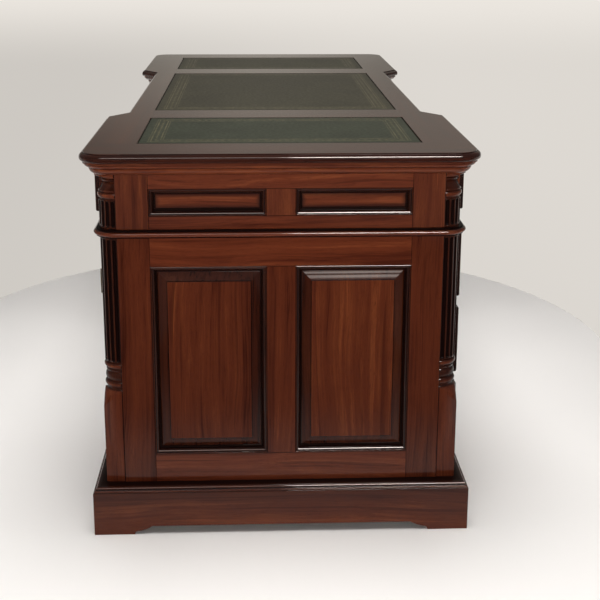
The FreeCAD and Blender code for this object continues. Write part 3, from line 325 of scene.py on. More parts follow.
def mark_by(piece, chooser, selected=False):
    """Give all or the selected faces the grain and figure that a chooser finds for middle and normal."""
    mesh = bmesh.from_edit_mesh(piece.data)
    layer = mesh.faces.layers.float.get("figure") or mesh.faces.layers.float.new("figure")
    for face in mesh.faces:
        if face.select or not selected:
            face.material_index, face[layer] = chooser(face.calc_center_median() * 1000, face.normal)
    bmesh.update_edit_mesh(piece.data)


def mark(piece, grain, figure):
    """Give the selected faces of the open mesh one grain direction and one figure."""
    mark_by(piece, lambda middle, normal: (grain, figure), selected=True)


def figure_of(index):
    """A board's own place in the figure, spread evenly over the boards."""
    return (index * GOLDEN_SHARE) % 1.0


def work_steps(piece, direction, steps):
    """Carry the selected face inwards and along a direction, step by step, and paint each new rim with glaze
    and painted shade.
    """
    for inwards, along, glaze in steps:
        move = Vector(direction) * along * 0.001
        if inwards:
            bpy.ops.mesh.inset(thickness=inwards * 0.001, depth=0.0)
            bpy.ops.transform.translate(value=move)
        else:
            draw_out(move)
        paint(piece, glaze)


def apply_modifier(piece, kind, **settings):
    """Add a modifier with its settings and apply it."""
    choose(piece)
    bpy.ops.object.modifier_add(type=kind)
    modifier = piece.modifiers[-1]
    for setting, value in settings.items():
        setattr(modifier, setting, value)
    bpy.ops.object.modifier_apply(modifier=modifier.name)


def cut_away(piece, *cutters):
    """Subtract cutter objects from a piece, delete them and open what is left."""
    for cutter in cutters:
        apply_modifier(piece, "BOOLEAN", operation="DIFFERENCE", solver="EXACT", object=cutter)
        bpy.data.objects.remove(cutter)
    open_mesh(piece)


def dress(piece, materials):
    """Give a piece its materials, in the order that its faces count them."""
    for material in materials:
        piece.data.materials.append(material)


def settle(piece, degrees=None, materials=None):
    """Smooth a finished piece up to an angle, dress it and put it in place of the node it is named for."""
    if degrees is not None:
        choose(piece)
        bpy.ops.object.shade_smooth_by_angle(angle=math.radians(degrees))
        apply_modifier(piece, "WEIGHTED_NORMAL", keep_sharp=True, weight=100)
    clear_selection()
    if not piece.data.materials:
        dress(piece, materials or polished_woods())
    node = piece.name.removeprefix("finished_")
    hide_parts(node)
    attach(piece, BODY_OF[node])


def flipped(span):
    return (-span[1], -span[0])


def across_y(boards):
    """Boards and their reflections on the other long side."""
    return boards + [(x, flipped(y), z, grain) for x, y, z, grain in boards]


def reflections(boards, middle=0.0):
    """Reflections of boards across a plane square to X."""
    return [((2 * middle - x[1], 2 * middle - x[0]), y, z, grain) for x, y, z, grain in boards]


def across_x(boards, middle=0.0):
    """Boards and their reflections across a plane square to X."""
    return boards + reflections(boards, middle)


def block_piece(name, boards, first_figure=0):
    """One piece of many sharp-edged blocks, each with its own grain and figure."""
    piece = None
    for index, (x, y, z, grain) in enumerate(boards):
        low, high = zip(x, y, z)
        if piece is None:
            piece = start_block(name, low, high)
        else:
            bpy.ops.mesh.select_all(action="DESELECT")
            add_block(low, high)
        mark(piece, grain, figure_of(first_figure + index))
    return piece


def board_piece(name, boards, first_figure=0):
    """One piece of many boards with their edges eased and dark lines in the joints."""
    piece = block_piece(name, boards, first_figure)
    bpy.ops.mesh.select_mode(type="EDGE")
    bpy.ops.mesh.select_all(action="SELECT")
    round_edges(bpy.context.scene.desk_sizes.arris, 1)
    write_values(piece, "FACE", "seam",
                 lambda face: 0.0 if max(abs(part) for part in face.normal) > 0.95 else 0.96)
    return piece


def breakfront(name, plan, inset, low, high, rounded=True):
    """A slab with a breakfront plan: cut across at the cants, its middle drawn in, outer corners rounded."""
    end, side, centre, radius, *cants = plan
    inner, outer = (place + CANT_SHIFT * inset for place in cants)
    end, side, centre, radius = (length - inset for length in (end, side, centre, radius))
    piece = start_block(name, (-end, -side, low), (end, side, high))
    slice_at(0, inner, outer)
    middle, corner = (inner + outer) * 0.0005, (end - 1.0) * 0.001
    pick(piece, "VERT", lambda vertex: abs(vertex.co.x) < middle)
    bpy.ops.transform.resize(value=(1.0, centre / side, 1.0), center_override=(0.0, 0.0, 0.0))
    for direction in (UP, DOWN):
        pick_facing(piece, direction)
        bpy.ops.mesh.dissolve_faces()
    if rounded:
        pick(piece, "EDGE", lambda edge: all(abs(vertex.co.x) > corner for vertex in edge.verts)
             and abs(edge.verts[0].co.z - edge.verts[1].co.z) > abs(edge.verts[0].co.y - edge.verts[1].co.y))
        round_edges(radius * 0.001, 12)
    return piece


def panelled(name, x, y, z, direction, field_steps, grain, figure):
    """A panel and its mouldings, worked into the front of a block; the mouldings run along their sides."""
    low, high = zip(x, y, z)
    piece = start_block(name, low, high)
    # Glaze and painted shade: the sides of the block take a middling value, and the rim where the moulding
    # meets its frame is painted fully dark, a painted shadow line.
    bpy.ops.mesh.select_all(action="SELECT")
    paint(piece, 0.6)
    pick_facing(piece, direction)
    paint(piece, 1.0)
    work_steps(piece, direction, PANEL_STEPS + field_steps)
    axis, wide, level = (1, y, GRAIN_Y) if direction[0] else (0, x, GRAIN_X)

    def chooser(middle, normal):
        to_side = min(middle[axis] - wide[0], wide[1] - middle[axis])
        to_end = min(middle.z - z[0], z[1] - middle.z)
        if min(to_side, to_end) > MOULDING_WIDTH:
            return grain, figure
        if to_end < to_side:
            return level, (figure + 0.37) % 1.0
        return GRAIN_Z, (figure + 0.71) % 1.0
    mark_by(piece, chooser)
    return piece


def joined(name, pieces, materials):
    """Several meshes, dressed alike, made into one object."""
    choose(pieces[0])
    for piece in pieces:
        dress(piece, materials)
        piece.select_set(True)
    if len(pieces) > 1:
        bpy.ops.object.join()
    whole = bpy.context.object
    whole.name = whole.data.name = name
    return whole


def copied(piece, name):
    """A copy of a finished shape with its own mesh."""
    choose(piece)
    bpy.ops.object.duplicate(linked=False)
    copy = bpy.context.object
    copy.name = copy.data.name = name
    return copy


def merged_node(node):
    """A copy of a CAD node with its loose triangles merged, open in edit mode."""
    piece = bpy.data.objects.new(f"finished_{node}", frame["nodes"][node].data.copy())
    piece.data.name = piece.name
    piece.data.materials.clear()
    bpy.context.scene.collection.objects.link(piece)
    open_mesh(piece)
    bpy.ops.mesh.remove_doubles(threshold=0.000002)
    return piece


class Graph:
    """Short calls to build a node tree."""

    def __init__(self, tree):
        self.tree = tree

    def add(self, kind, inputs=None, **settings):
        node = self.tree.nodes.new(kind)
        for setting, value in settings.items():
            setattr(node, setting, value)
        for key, value in (inputs or {}).items():
            if isinstance(value, bpy.types.NodeSocket):
                self.tree.links.new(value, node.inputs[key])
            else:
                node.inputs[key].default_value = value
        return node

    def place(self):
        return self.add("ShaderNodeTexCoord").outputs["Object"]

    def parts(self, vector):
        return self.add("ShaderNodeSeparateXYZ", {0: vector}).outputs

    def attribute(self, name):
        return self.add("ShaderNodeAttribute", attribute_name=name).outputs["Fac"]

    def math(self, operation, first, second=0.5, third=0.5):
        return self.add("ShaderNodeMath", {0: first, 1: second, 2: third}, operation=operation).outputs[0]

    def vector(self, operation, first, second):
        return self.add("ShaderNodeVectorMath", {0: first, 1: second}, operation=operation).outputs[0]

    def noise(self, vector, scale, detail=2.0, roughness=0.5, output="Fac"):
        return self.add("ShaderNodeTexNoise", {"Vector": vector, "Scale": scale, "Detail": detail,
                                               "Roughness": roughness}).outputs[output]

    def fibres(self, vector, along, across, detail, roughness=0.5, output="Fac"):
        stretched = self.vector("MULTIPLY", vector, (along, across, across))
        return self.noise(stretched, 1.0, detail, roughness, output)

    def between(self, value, low, high, start=0.0, end=1.0):
        return self.add("ShaderNodeMapRange", {"Value": value, "From Min": low, "From Max": high,
                                               "To Min": start, "To Max": end},
                        interpolation_type="SMOOTHSTEP").outputs["Result"]

    def mix(self, factor, first, second):
        return self.add("ShaderNodeMix", {0: factor, 6: first, 7: second}, data_type="RGBA").outputs[2]

    def bump(self, height, strength, distance):
        return self.add("ShaderNodeBump", {"Height": height, "Strength": strength,
                                           "Distance": distance}).outputs[0]

    def surface(self, inputs):
        shader = self.add("ShaderNodeBsdfPrincipled", inputs)
        self.add("ShaderNodeOutputMaterial", {"Surface": shader.outputs[0]})


def solid(colour):
    return (*colour, 1.0)


def new_material(name):
    """An empty material and the graph of its nodes."""
    material = bpy.data.materials.new(name)
    material.use_nodes = True
    material.node_tree.nodes.clear()
    return material, Graph(material.node_tree)


def new_group(name, inputs, outputs):
    """A shader group with named sockets, the graph of its nodes and the sockets that come in."""
    group = bpy.data.node_groups.new(name, "ShaderNodeTree")
    for label, kind, default in inputs:
        item = group.interface.new_socket(name=label, in_out="INPUT", socket_type=f"NodeSocket{kind}")
        if default is not None:
            item.default_value = default
    for label, kind in outputs:
        group.interface.new_socket(name=label, in_out="OUTPUT", socket_type=f"NodeSocket{kind}")
    graph = Graph(group)
    return group, graph, graph.add("NodeGroupInput").outputs


def wood_figure_group():
    """Wood with its grain along X: ribbons, streaks and pores, a tone for each board, dark glaze and painted
    shade where the mask lays them.
    """
    tones = [(name, "Color", None) for name in ("Dark", "Middle", "Light", "Glaze Colour")]
    group, graph, inputs = new_group(
        "Wood figure",
        [("Place", "Vector", None), ("Board", "Float", 0.0), ("Glaze", "Float", 0.0), *tones,
         ("Gloss", "Float", 0.3)],
        [("Colour", "Color"), ("Roughness", "Float"), ("Relief", "Float")])
    away = [graph.math("MULTIPLY", inputs["Board"], distance) for distance in (7.3, 3.1, 5.7)]
    spread = graph.add("ShaderNodeCombineXYZ", dict(enumerate(away))).outputs[0]
    place = graph.vector("ADD", inputs["Place"], spread)
    bend = graph.vector("SUBTRACT", graph.fibres(place, 1.5, 5.0, 2.0, output="Color"), (0.5, 0.5, 0.5))
    grown = graph.vector("ADD", place, graph.vector("MULTIPLY", bend, (0.0, 0.07, 0.07)))
    flame = graph.fibres(place, 9.0, 17.0, 2.0)
    ribbon = graph.fibres(grown, 0.8, 30.0, 2.0)
    streak = graph.fibres(grown, 2.6, 120.0, 3.0, 0.6)
    thread = graph.fibres(grown, 13.0, 560.0, 2.0, 0.6)
    vein = graph.between(graph.fibres(grown, 0.6, 95.0, 1.0), 0.61, 0.68)
    pit = graph.between(graph.fibres(grown, 55.0, 1300.0, 1.0), 0.60, 0.70)
    depth = graph.math("MULTIPLY_ADD", ribbon, 0.60, graph.math("MULTIPLY", flame, 0.20))
    depth = graph.math("MULTIPLY_ADD", streak, 0.65, graph.math("MULTIPLY_ADD", thread, 0.35, depth))
    tone = graph.between(inputs["Board"], 0.0, 1.0, -0.05, 0.05)
    level = graph.math("ADD", graph.math("SUBTRACT", depth, 0.90), tone)
    colour = graph.mix(graph.between(level, -0.30, 0.02), inputs["Dark"], inputs["Middle"])
    colour = graph.mix(graph.between(level, 0.0, 0.34), colour, inputs["Light"])
    for mask, strength in ((vein, 0.55), (pit, 0.45)):
        colour = graph.mix(graph.math("MULTIPLY", mask, strength), colour, inputs["Dark"])
    colour = graph.mix(inputs["Glaze"], colour, inputs["Glaze Colour"])
    rough = graph.math("MULTIPLY_ADD", streak, 0.12, inputs["Gloss"])
    relief = graph.math("MULTIPLY_ADD", pit, -0.6, graph.math("MULTIPLY", streak, 0.4))
    graph.add("NodeGroupOutput", {"Colour": colour, "Roughness": rough, "Relief": relief})
    return group


def wood_material(name, group, turn, colours, gloss, coat):
    """Wood whose grain runs along X, Y or Z, with a clear polish, thin where the glaze and painted shade are
    deepest.
    """
    material, graph = new_material(name)
    turned = graph.add("ShaderNodeMapping", {"Vector": graph.place(), "Rotation": turn}).outputs[0]
    # The mask joins dark glaze, painted shade and the dark joint lines; the last of the colours paints them.
    glaze = graph.math("MAXIMUM", graph.attribute("glaze"), graph.attribute("seam"))
    dark, middle, light, hollow = (solid(colour) for colour in colours)
    board = graph.attribute("figure")
    figure = graph.add("ShaderNodeGroup", {"Place": turned, "Board": board, "Glaze": glaze, "Gloss": gloss,
                                           "Dark": dark, "Middle": middle, "Light": light,
                                           "Glaze Colour": hollow}, node_tree=group).outputs
    shine = graph.between(glaze, 0.92, 0.99, coat, coat * 0.06) if coat else 0.0
    graph.surface({"Base Color": figure["Colour"], "Roughness": figure["Roughness"],
                   "Normal": graph.bump(figure["Relief"], 0.06, 0.0004), "Specular IOR Level": 0.02,
                   "Coat Weight": shine, "Coat Roughness": 0.06, "Coat IOR": 1.4})
    return material


def polished_woods(upright="upright"):
    """Polished mahogany with its grain along X, Y and Z; turned pieces take an upright one less polished."""
    if "mahogany_upright" not in bpy.data.materials:
        finish = bpy.context.scene.desk_finish
        group = wood_figure_group()
        for name, way, tone, coat in (("lengthwise", "lengthwise", 1.0, 1.0),
                                      ("crosswise", "crosswise", 1.0, 1.0),
                                      ("upright", "upright", 0.78, 1.0), ("turned", "upright", 1.0, 0.75)):
            colours = [Vector(colour) * tone
                       for colour in (finish.wood_dark, finish.wood_mid, finish.wood_light, finish.glaze)]
            wood_material(f"mahogany_{name}", group, GRAIN_TURNS[way], colours, 0.3, coat)
    return [bpy.data.materials[f"mahogany_{name}"] for name in ("lengthwise", "crosswise", upright)]


def plain_woods(name, colour):
    """Unpolished wood with its grain along X, Y and Z."""
    group = bpy.data.node_groups["Wood figure"]
    colours = [Vector(colour) * tone for tone in (0.55, 1.0, 1.35, 0.3)]
    return [wood_material(f"{name}_{way}", group, turn, colours, 0.52, 0.0)
            for way, turn in GRAIN_TURNS.items()]


def tooled_border_group():
    """Masks for a tooled leather: gold lines and a row of leaves at set distances from its edges."""
    group, graph, inputs = new_group(
        "Tooled border",
        [("Place", "Vector", None), ("Half Length", "Float", 0.3), ("Half Width", "Float", 0.27),
         ("Outer Line", "Float", 0.024), ("Inner Line", "Float", 0.042)],
        [("Gold", "Float"), ("Edge", "Float")])
    place = graph.parts(inputs["Place"])
    to_end = graph.math("SUBTRACT", inputs["Half Length"], graph.math("ABSOLUTE", place["X"]))
    to_side = graph.math("SUBTRACT", inputs["Half Width"], graph.math("ABSOLUTE", place["Y"]))
    inwards = graph.math("MINIMUM", to_end, to_side)
    beside = graph.math("LESS_THAN", to_end, to_side)
    along = graph.add("ShaderNodeMix", {0: beside, 2: place["X"], 3: place["Y"]},
                      data_type="FLOAT").outputs[0]

    def away_from(distance):
        return graph.math("ABSOLUTE", graph.math("SUBTRACT", inwards, distance))

    def line(distance, half_width):
        return graph.between(away_from(distance), half_width * 0.5, half_width, 1.0, 0.0)
    outer, inner = inputs["Outer Line"], inputs["Inner Line"]
    middle = graph.math("MULTIPLY", graph.math("ADD", outer, inner), 0.5)
    repeat = graph.math("PINGPONG", along, 0.007)
    leaf = graph.between(graph.math("ADD", repeat, away_from(middle)), 0.0035, 0.0055, 1.0, 0.0)
    lines = graph.math("MAXIMUM", line(outer, 0.0017), line(inner, 0.0017))
    fine = graph.math("MAXIMUM", line(graph.math("SUBTRACT", outer, 0.005), 0.0009),
                      line(graph.math("ADD", inner, 0.005), 0.0009))
    leaves = graph.math("MULTIPLY", graph.math("MAXIMUM", leaf, line(middle, 0.0009)), 0.75)
    gold = graph.math("MAXIMUM", graph.math("MAXIMUM", lines, fine), leaves)
    worn = graph.between(graph.noise(inputs["Place"], 45.0, 3.0), 0.36, 0.62, 0.35, 1.0)
    # Edge darkens the hide in a soft band inside the edge: partly blackened hide, partly painted shadow of
    # the groove.
    edge = graph.between(inwards, 0.0015, 0.005, 1.0, 0.0)
    graph.add("NodeGroupOutput", {"Gold": graph.math("MULTIPLY", gold, worn), "Edge": edge})
    return group


def hide_grain(graph):
    """The mottle and the fine pebbled grain of a hide."""
    place = graph.place()
    pebble = graph.add("ShaderNodeTexVoronoi", {"Vector": place, "Scale": 780.0},
                       feature="SMOOTH_F1").outputs[0]
    return graph.noise(place, 140.0, 2.0, 0.6), pebble


def leather_material(name, group, span, half_width, colour_scale):
    """Dyed leather with a pebbled grain, edges darkened partly by blackening and partly by painted shadow,
    and a worn gold border centred on its own panel.
    """
    scene = bpy.context.scene
    finish, sizes = scene.desk_finish, scene.desk_sizes
    material, graph = new_material(name)
    place = graph.place()
    middle = (-sum(span) * 0.0005, 0.0, 0.0)
    centred = graph.add("ShaderNodeMapping", {"Vector": place, "Location": middle}).outputs[0]
    border = graph.add("ShaderNodeGroup", {"Place": centred, "Half Length": (span[1] - span[0]) * 0.0005,
                                           "Half Width": half_width * 0.001, "Outer Line": sizes.border_outer,
                                           "Inner Line": sizes.border_inner}, node_tree=group).outputs
    mottle, pebble = hide_grain(graph)
    leather = Vector(finish.leather) * Vector(colour_scale)
    cloud = graph.between(graph.noise(place, 9.0, 3.0, 0.6), 0.3, 0.7)
    hide = graph.mix(cloud, solid(leather * 0.85), solid(leather * 1.18))
    speck = graph.math("MULTIPLY", graph.between(mottle, 0.45, 0.7), 0.35)
    hide = graph.mix(speck, hide, solid(leather * 0.6))
    hide = graph.mix(border["Edge"], hide, solid(leather * 0.25))
    height = graph.math("MULTIPLY_ADD", border["Gold"], -0.5, graph.math("MULTIPLY", pebble, -0.5))
    rough = graph.math("MULTIPLY_ADD", border["Gold"], -0.08, graph.between(mottle, 0.2, 0.8, 0.36, 0.44))
    graph.surface({"Base Color": graph.mix(border["Gold"], hide, solid(finish.gold)), "Roughness": rough,
                   "Normal": graph.bump(height, 0.12, 0.0004),
                   "Metallic": graph.math("MULTIPLY", border["Gold"], 0.35), "Specular IOR Level": 0.24})
    return material


def leather_edge_material():
    """The dark, pressed-down edge of the leathers, partly blackened hide and partly painted shadow of the
    groove, dull and finely pebbled.
    """
    material, graph = new_material("leather_edge")
    mottle, pebble = hide_grain(graph)
    leather = Vector(bpy.context.scene.desk_finish.leather)
    hide = graph.mix(graph.between(mottle, 0.35, 0.7), solid(leather * 0.15), solid(leather * 0.4))
    graph.surface({"Base Color": hide, "Roughness": graph.between(mottle, 0.2, 0.8, 0.6, 0.75),
                   "Normal": graph.bump(pebble, 0.1, 0.0004), "Specular IOR Level": 0.03})
    return material


def brass_material():
    """Rubbed brass, tarnished in patches, with fine scratches along its length."""
    material, graph = new_material("rubbed_brass")
    place = graph.place()
    brass = Vector(bpy.context.scene.desk_finish.brass)
    tarnish = graph.noise(place, 120.0, 4.0, 0.6)
    scratch = graph.noise(graph.vector("MULTIPLY", place, (2500.0, 2500.0, 90.0)), 1.0)
    colour = graph.mix(graph.between(tarnish, 0.4, 0.7), solid(brass), solid(brass * 0.55))
    rough = graph.math("MULTIPLY_ADD", tarnish, 0.25, graph.math("MULTIPLY", scratch, 0.2))
    graph.surface({"Base Color": colour, "Roughness": rough, "Normal": graph.bump(scratch, 0.05, 0.0002),
                   "Metallic": 1.0})
    return material


def over_leather(place):
    """Whether a place lies over one of the beds for the leathers."""
    x, y = abs(place.x) * 1000, abs(place.y) * 1000
    return y < LEATHER_HALF and (LEATHER_ENDS[0] < x < LEATHER_ENDS[1] or x < LEATHER_CENTRE)


def top_grain(middle, normal):
    """Grain across the ends and the bars between the leathers, lengthwise along both sides."""
    x = abs(middle.x)
    if x > LEATHER_ENDS[1]:
        return GRAIN_Y, 0.31 if middle.x < 0 else 0.77
    if LEATHER_CENTRE < x < LEATHER_ENDS[0] and abs(middle.y) < LEATHER_HALF:
        return GRAIN_Y, 0.12 if middle.x < 0 else 0.58
    return GRAIN_X, 0.45 if middle.y < 0 else 0.9


class DESK_OT_top(bpy.types.Operator):
    """Shape the breakfront top with its rounded edges and the beds for the leathers"""
    bl_idname = "desk.top"
    bl_label = "Top board"

    def execute(self, context):
        sizes = context.scene.desk_sizes
        low, high = metres(TOP)
        step = high - sizes.top_fillet
        piece = breakfront("finished_top_board", TOP_PLAN, 0.0, TOP[0], step * 1000)
        for level, size, segments in ((step, sizes.top_upper_round, 5), (low, sizes.top_lower_round, 3)):
            pick_edges_at(piece, 2, level)
            round_edges(size, segments)
        pick_facing(piece, UP)
        draw_out((0.0, 0.0, sizes.top_fillet))
        pick_edges_at(piece, 2, high)
        round_edges(sizes.arris, 2)
        slice_at(0, *LEATHER_ENDS, LEATHER_CENTRE)
        slice_at(1, LEATHER_HALF)
        pick(piece, "FACE",
             lambda face: face.normal.z > SAME_DIRECTION and over_leather(face.calc_center_median()))
        draw_out((0.0, 0.0, -sizes.leather_bed))
        mark_by(piece, top_grain)
        # Glaze and painted shade on the top: the whole top a little darker, its upper round darker still, and
        # the ring where the round meets the small step above it fully dark, a painted shadow line under the
        # arris.
        bpy.ops.mesh.select_all(action="SELECT")
        paint(piece, 0.72)
        pick(piece, "VERT", lambda vertex: step - sizes.top_upper_round < vertex.co.z < step - SAME_PLACE)
        paint(piece, 0.86)
        pick(piece, "VERT",
             lambda vertex: abs(vertex.co.z - step) < SAME_PLACE and not over_leather(vertex.co))
        paint(piece, 1.0)
        settle(piece, 30)
        return {"FINISHED"}


class DESK_OT_leathers(bpy.types.Operator):
    """Lay the three writing leathers, eased at their edges and tooled round their borders"""
    bl_idname = "desk.leathers"
    bl_label = "Writing leathers"

    def execute(self, context):
        sizes = context.scene.desk_sizes
        half = LEATHER_HALF - LEATHER_GAP
        rise = (TOP[1] - sizes.leather_bed * 1000, TOP[1] - sizes.leather_sink * 1000)
        beds = (flipped(LEATHER_ENDS), (-LEATHER_CENTRE, LEATHER_CENTRE), LEATHER_ENDS)
        spans = [(start + LEATHER_GAP, end - LEATHER_GAP) for start, end in beds]
        piece = block_piece("finished_writing_leathers",
                            [(span, (-half, half), rise, index) for index, span in enumerate(spans)])
        pick_edges_at(piece, 2, rise[1] * 0.001)
        round_edges(sizes.leather_round, 3)
        pick_facing(piece, UP)
        bpy.ops.mesh.inset(thickness=sizes.leather_edge, depth=0.0, use_individual=True)
        bpy.ops.mesh.select_all(action="INVERT")
        mark(piece, len(spans), 0.0)
        group = tooled_border_group()
        materials = [leather_material(f"tooled_leather_{name}", group, span, half, colour_scale)
                     for (name, colour_scale), span in zip(LEATHER_TINTS, spans)]
        settle(piece, 40, materials + [leather_edge_material()])
        return {"FINISHED"}


def run_grain(middle, normal):
    """Grain along the run of a moulding that goes round the desk."""
    if abs(middle.x) > END_RUN and abs(normal.y) < 0.72:
        return GRAIN_Y, 0.95 if middle.x < 0 else 0.65
    return GRAIN_X, 0.4 if middle.y < 0 else 0.85


class DESK_OT_cornice(bpy.types.Operator):
    """Work the cornice under the top: fillet, hollow, fillet and round, hollowed to a frame"""
    bl_idname = "desk.cornice"
    bl_label = "Cornice moulding"

    def execute(self, context):
        piece = breakfront("finished_cornice_moulding", TOP_PLAN, CORNICE_SETBACK, CORNICE_FOOT, TOP[0])
        # Glaze and painted shade: a middling value over the block, less on its underside, and each worked
        # step its own value from CORNICE_STEPS, darkest in the quirks.
        bpy.ops.mesh.select_all(action="SELECT")
        paint(piece, 0.6)
        pick_facing(piece, DOWN)
        paint(piece, 0.25)
        work_steps(piece, DOWN, CORNICE_STEPS)
        cut_away(piece, breakfront("hollow", TOP_PLAN, CORNICE_WIDTH, CORNICE_FOOT - OVERRUN,
                                   TOP[0] + OVERRUN, rounded=False))
        mark_by(piece, run_grain)
        settle(piece, 32)
        return {"FINISHED"}


class DESK_OT_waist(bpy.types.Operator):
    """Work the bead that runs round the desk between frieze and pedestals"""
    bl_idname = "desk.waist"
    bl_label = "Waist moulding"

    def execute(self, context):
        piece = breakfront("finished_waist_moulding", WAIST_PLAN, 0.0, *WAIST)
        for direction, steps in ((UP, WAIST_UP), (DOWN, WAIST_DOWN)):
            pick_facing(piece, direction)
            work_steps(piece, direction, steps)
        cut_away(piece, breakfront("hollow", WAIST_PLAN, WAIST_WIDTH, WAIST[0] - OVERRUN, WAIST[1] + OVERRUN,
                                   rounded=False))
        mark_by(piece, run_grain)
        settle(piece, 40)
        return {"FINISHED"}


def block_frame(storey, panel):
    """Posts, stiles and the end frame of the right-hand block over one storey."""
    post, stile, thick = (POST_INNER, AXIS_DEPTH), (SIDE_BACK, SIDE_FACE), (END_BACK, END_FACE)
    posts = across_y([((OUTER_AXIS, END_FACE), post, storey, GRAIN_Z),
                      ((KNEE_FACE, INNER_AXIS), post, storey, GRAIN_Z)])
    stiles = across_y([((OPENING_OUTER, OUTER_AXIS), stile, storey, GRAIN_Z),
                       ((INNER_AXIS, OPENING_INNER), stile, storey, GRAIN_Z)])
    end = [(thick, BETWEEN_POSTS, (panel[1], storey[1]), GRAIN_Y),
           (thick, BETWEEN_POSTS, (storey[0], panel[0]), GRAIN_Y),
           (thick, (-HALF_MUNTIN, HALF_MUNTIN), panel, GRAIN_Z)]
    return posts + stiles + end


class DESK_OT_frames(bpy.types.Operator):
    """Join the boards of the frieze and of both pedestal frames"""
    bl_idname = "desk.frames"
    bl_label = "Frames"

    def execute(self, context):
        depth, centre_depth = (SIDE_BACK, SIDE_FACE), (CENTRE_BACK, CENTRE_FACE)
        rails = ((FRIEZE[0], FRIEZE_DRAWER[0]), (FRIEZE_DRAWER[1], FRIEZE[1]))
        spine, partition = (-HALF_DIVIDER, HALF_DIVIDER), (KNEE_FACE, KNEE_FACE + PARTITION_THICK)
        right = block_frame(FRIEZE, FRIEZE_PANEL)
        right += across_y([(OPENING, depth, rail, GRAIN_X) for rail in rails]
                          + [((CENTRE_OPENING, KNEE_FACE), centre_depth, FRIEZE, GRAIN_Z)])
        right += [(partition, BETWEEN_POSTS, FRIEZE, GRAIN_Y),
                  ((partition[1], END_BACK), spine, FRIEZE, GRAIN_X)]
        centre, kneehole = (-CENTRE_OPENING, CENTRE_OPENING), (-KNEE_FACE, KNEE_FACE)
        middle = across_y([(centre, centre_depth, rail, GRAIN_X) for rail in rails])
        middle += [(kneehole, spine, (DUST_BOARD_TOP, FRIEZE[1]), GRAIN_X),
                   (kneehole, (-CENTRE_BACK, CENTRE_BACK), (FRIEZE[0], DUST_BOARD_TOP), GRAIN_X)]
        settle(board_piece("finished_frieze_frame", across_x(right) + middle))
        pedestal = block_frame(PEDESTAL, END_PANEL)
        outer_rails = ((PEDESTAL[0], DRAWER_LEVELS["lower"][0]), (DRAWER_LEVELS["upper"][1], PEDESTAL[1]))
        pedestal += across_y([(OPENING, depth, rail, GRAIN_X) for rail in outer_rails])
        pedestal += [(OPENING, flipped(depth), rail, GRAIN_X) for rail in DRAWER_RAILS]
        for side, boards, first_figure in (("right", pedestal, 34), ("left", reflections(pedestal), 5)):
            settle(board_piece(f"finished_{side}_pedestal_frame", boards, first_figure))
        return {"FINISHED"}


class DESK_OT_panels(bpy.types.Operator):
    """Work the sunk frieze panels, the raised end panels with their mouldings, and the kneehole boards"""
    bl_idname = "desk.panels"
    bl_label = "Panels"

    def execute(self, context):
        thick, across = (END_BACK, END_FACE - PANEL_SETBACK), (HALF_MUNTIN, POST_INNER)
        for name, rise, steps, grain, first in (("frieze_panels", FRIEZE_PANEL, SUNK_STEPS, GRAIN_Y, 6),
                                                ("pedestal_panels", END_PANEL, FIELD_STEPS, GRAIN_Z, 3)):
            pieces = []
            for end, x in ((1, thick), (-1, flipped(thick))):
                for y in (across, flipped(across)):
                    figure = figure_of(first + len(pieces))
                    pieces.append(panelled("panel", x, y, rise, (end, 0, 0), steps, grain, figure))
            if name == "pedestal_panels":
                inner = [((KNEE_FACE, KNEE_BACK), BETWEEN_POSTS, PEDESTAL, GRAIN_Z)]
                pieces.append(board_piece("knee_boards", across_x(inner), 11))
            settle(joined(f"finished_{name}", pieces, polished_woods()), BEVEL_LIMIT)
        return {"FINISHED"}


def column_glaze_and_shade(place, shaft):
    """Glaze and painted shade by the distance from a column's axis: full in the flutes of its shaft, less in
    other hollows.
    """
    x, y = abs(place.x), abs(place.y)
    reach = min(math.hypot(x - axis, y - AXIS_DEPTH) for axis in (OUTER_AXIS, INNER_AXIS))
    deepest = 1.0 if shaft[0] < place.z < shaft[1] else 0.7
    return min(max((1.01 * COLUMN_RADIUS - reach) / (0.07 * COLUMN_RADIUS), 0.1), deepest)


def joint_seam(face):
    """A dark line where a column's edge meets the post or the stile."""
    middle = face.calc_center_median() * 1000
    beside = []
    if abs(face.normal.x) > 0.9:
        beside.append(abs(middle.y) - AXIS_DEPTH)
    if abs(face.normal.y) > 0.9:
        beside += [abs(abs(middle.x) - axis) for axis in (OUTER_AXIS, INNER_AXIS)]
    return 1.0 if any(distance < JOINT_LINE for distance in beside) else 0.0


class DESK_OT_columns(bpy.types.Operator):
    """Merge the fluted corner columns and lay dark glaze and painted shade in their flutes and hollows"""
    bl_idname = "desk.columns"
    bl_label = "Corner columns"

    def execute(self, context):
        for name in ("frieze_columns", "pedestal_columns"):
            piece = merged_node(name)
            levels = [vertex.co.z * 1000 for vertex in bmesh.from_edit_mesh(piece.data).verts]
            foot, head = min(levels), max(levels)
            shaft = (foot, head - CAPITAL_HEIGHT) if name == "frieze_columns" else (foot + BASE_HEIGHT, head)
            write_values(piece, "VERT", "glaze", lambda vertex: column_glaze_and_shade(vertex.co * 1000, shaft))
            mark_by(piece, lambda middle, normal: (GRAIN_Z, 0.3 + 0.2 * (middle.x > 0)
                                                   + 0.33 * (middle.y > 0)))
            slice_at(1, AXIS_DEPTH + JOINT_LINE)
            slice_at(0, OUTER_AXIS + JOINT_LINE, INNER_AXIS - JOINT_LINE)
            write_values(piece, "FACE", "seam", joint_seam)
            settle(piece, 35, polished_woods("turned"))
        return {"FINISHED"}


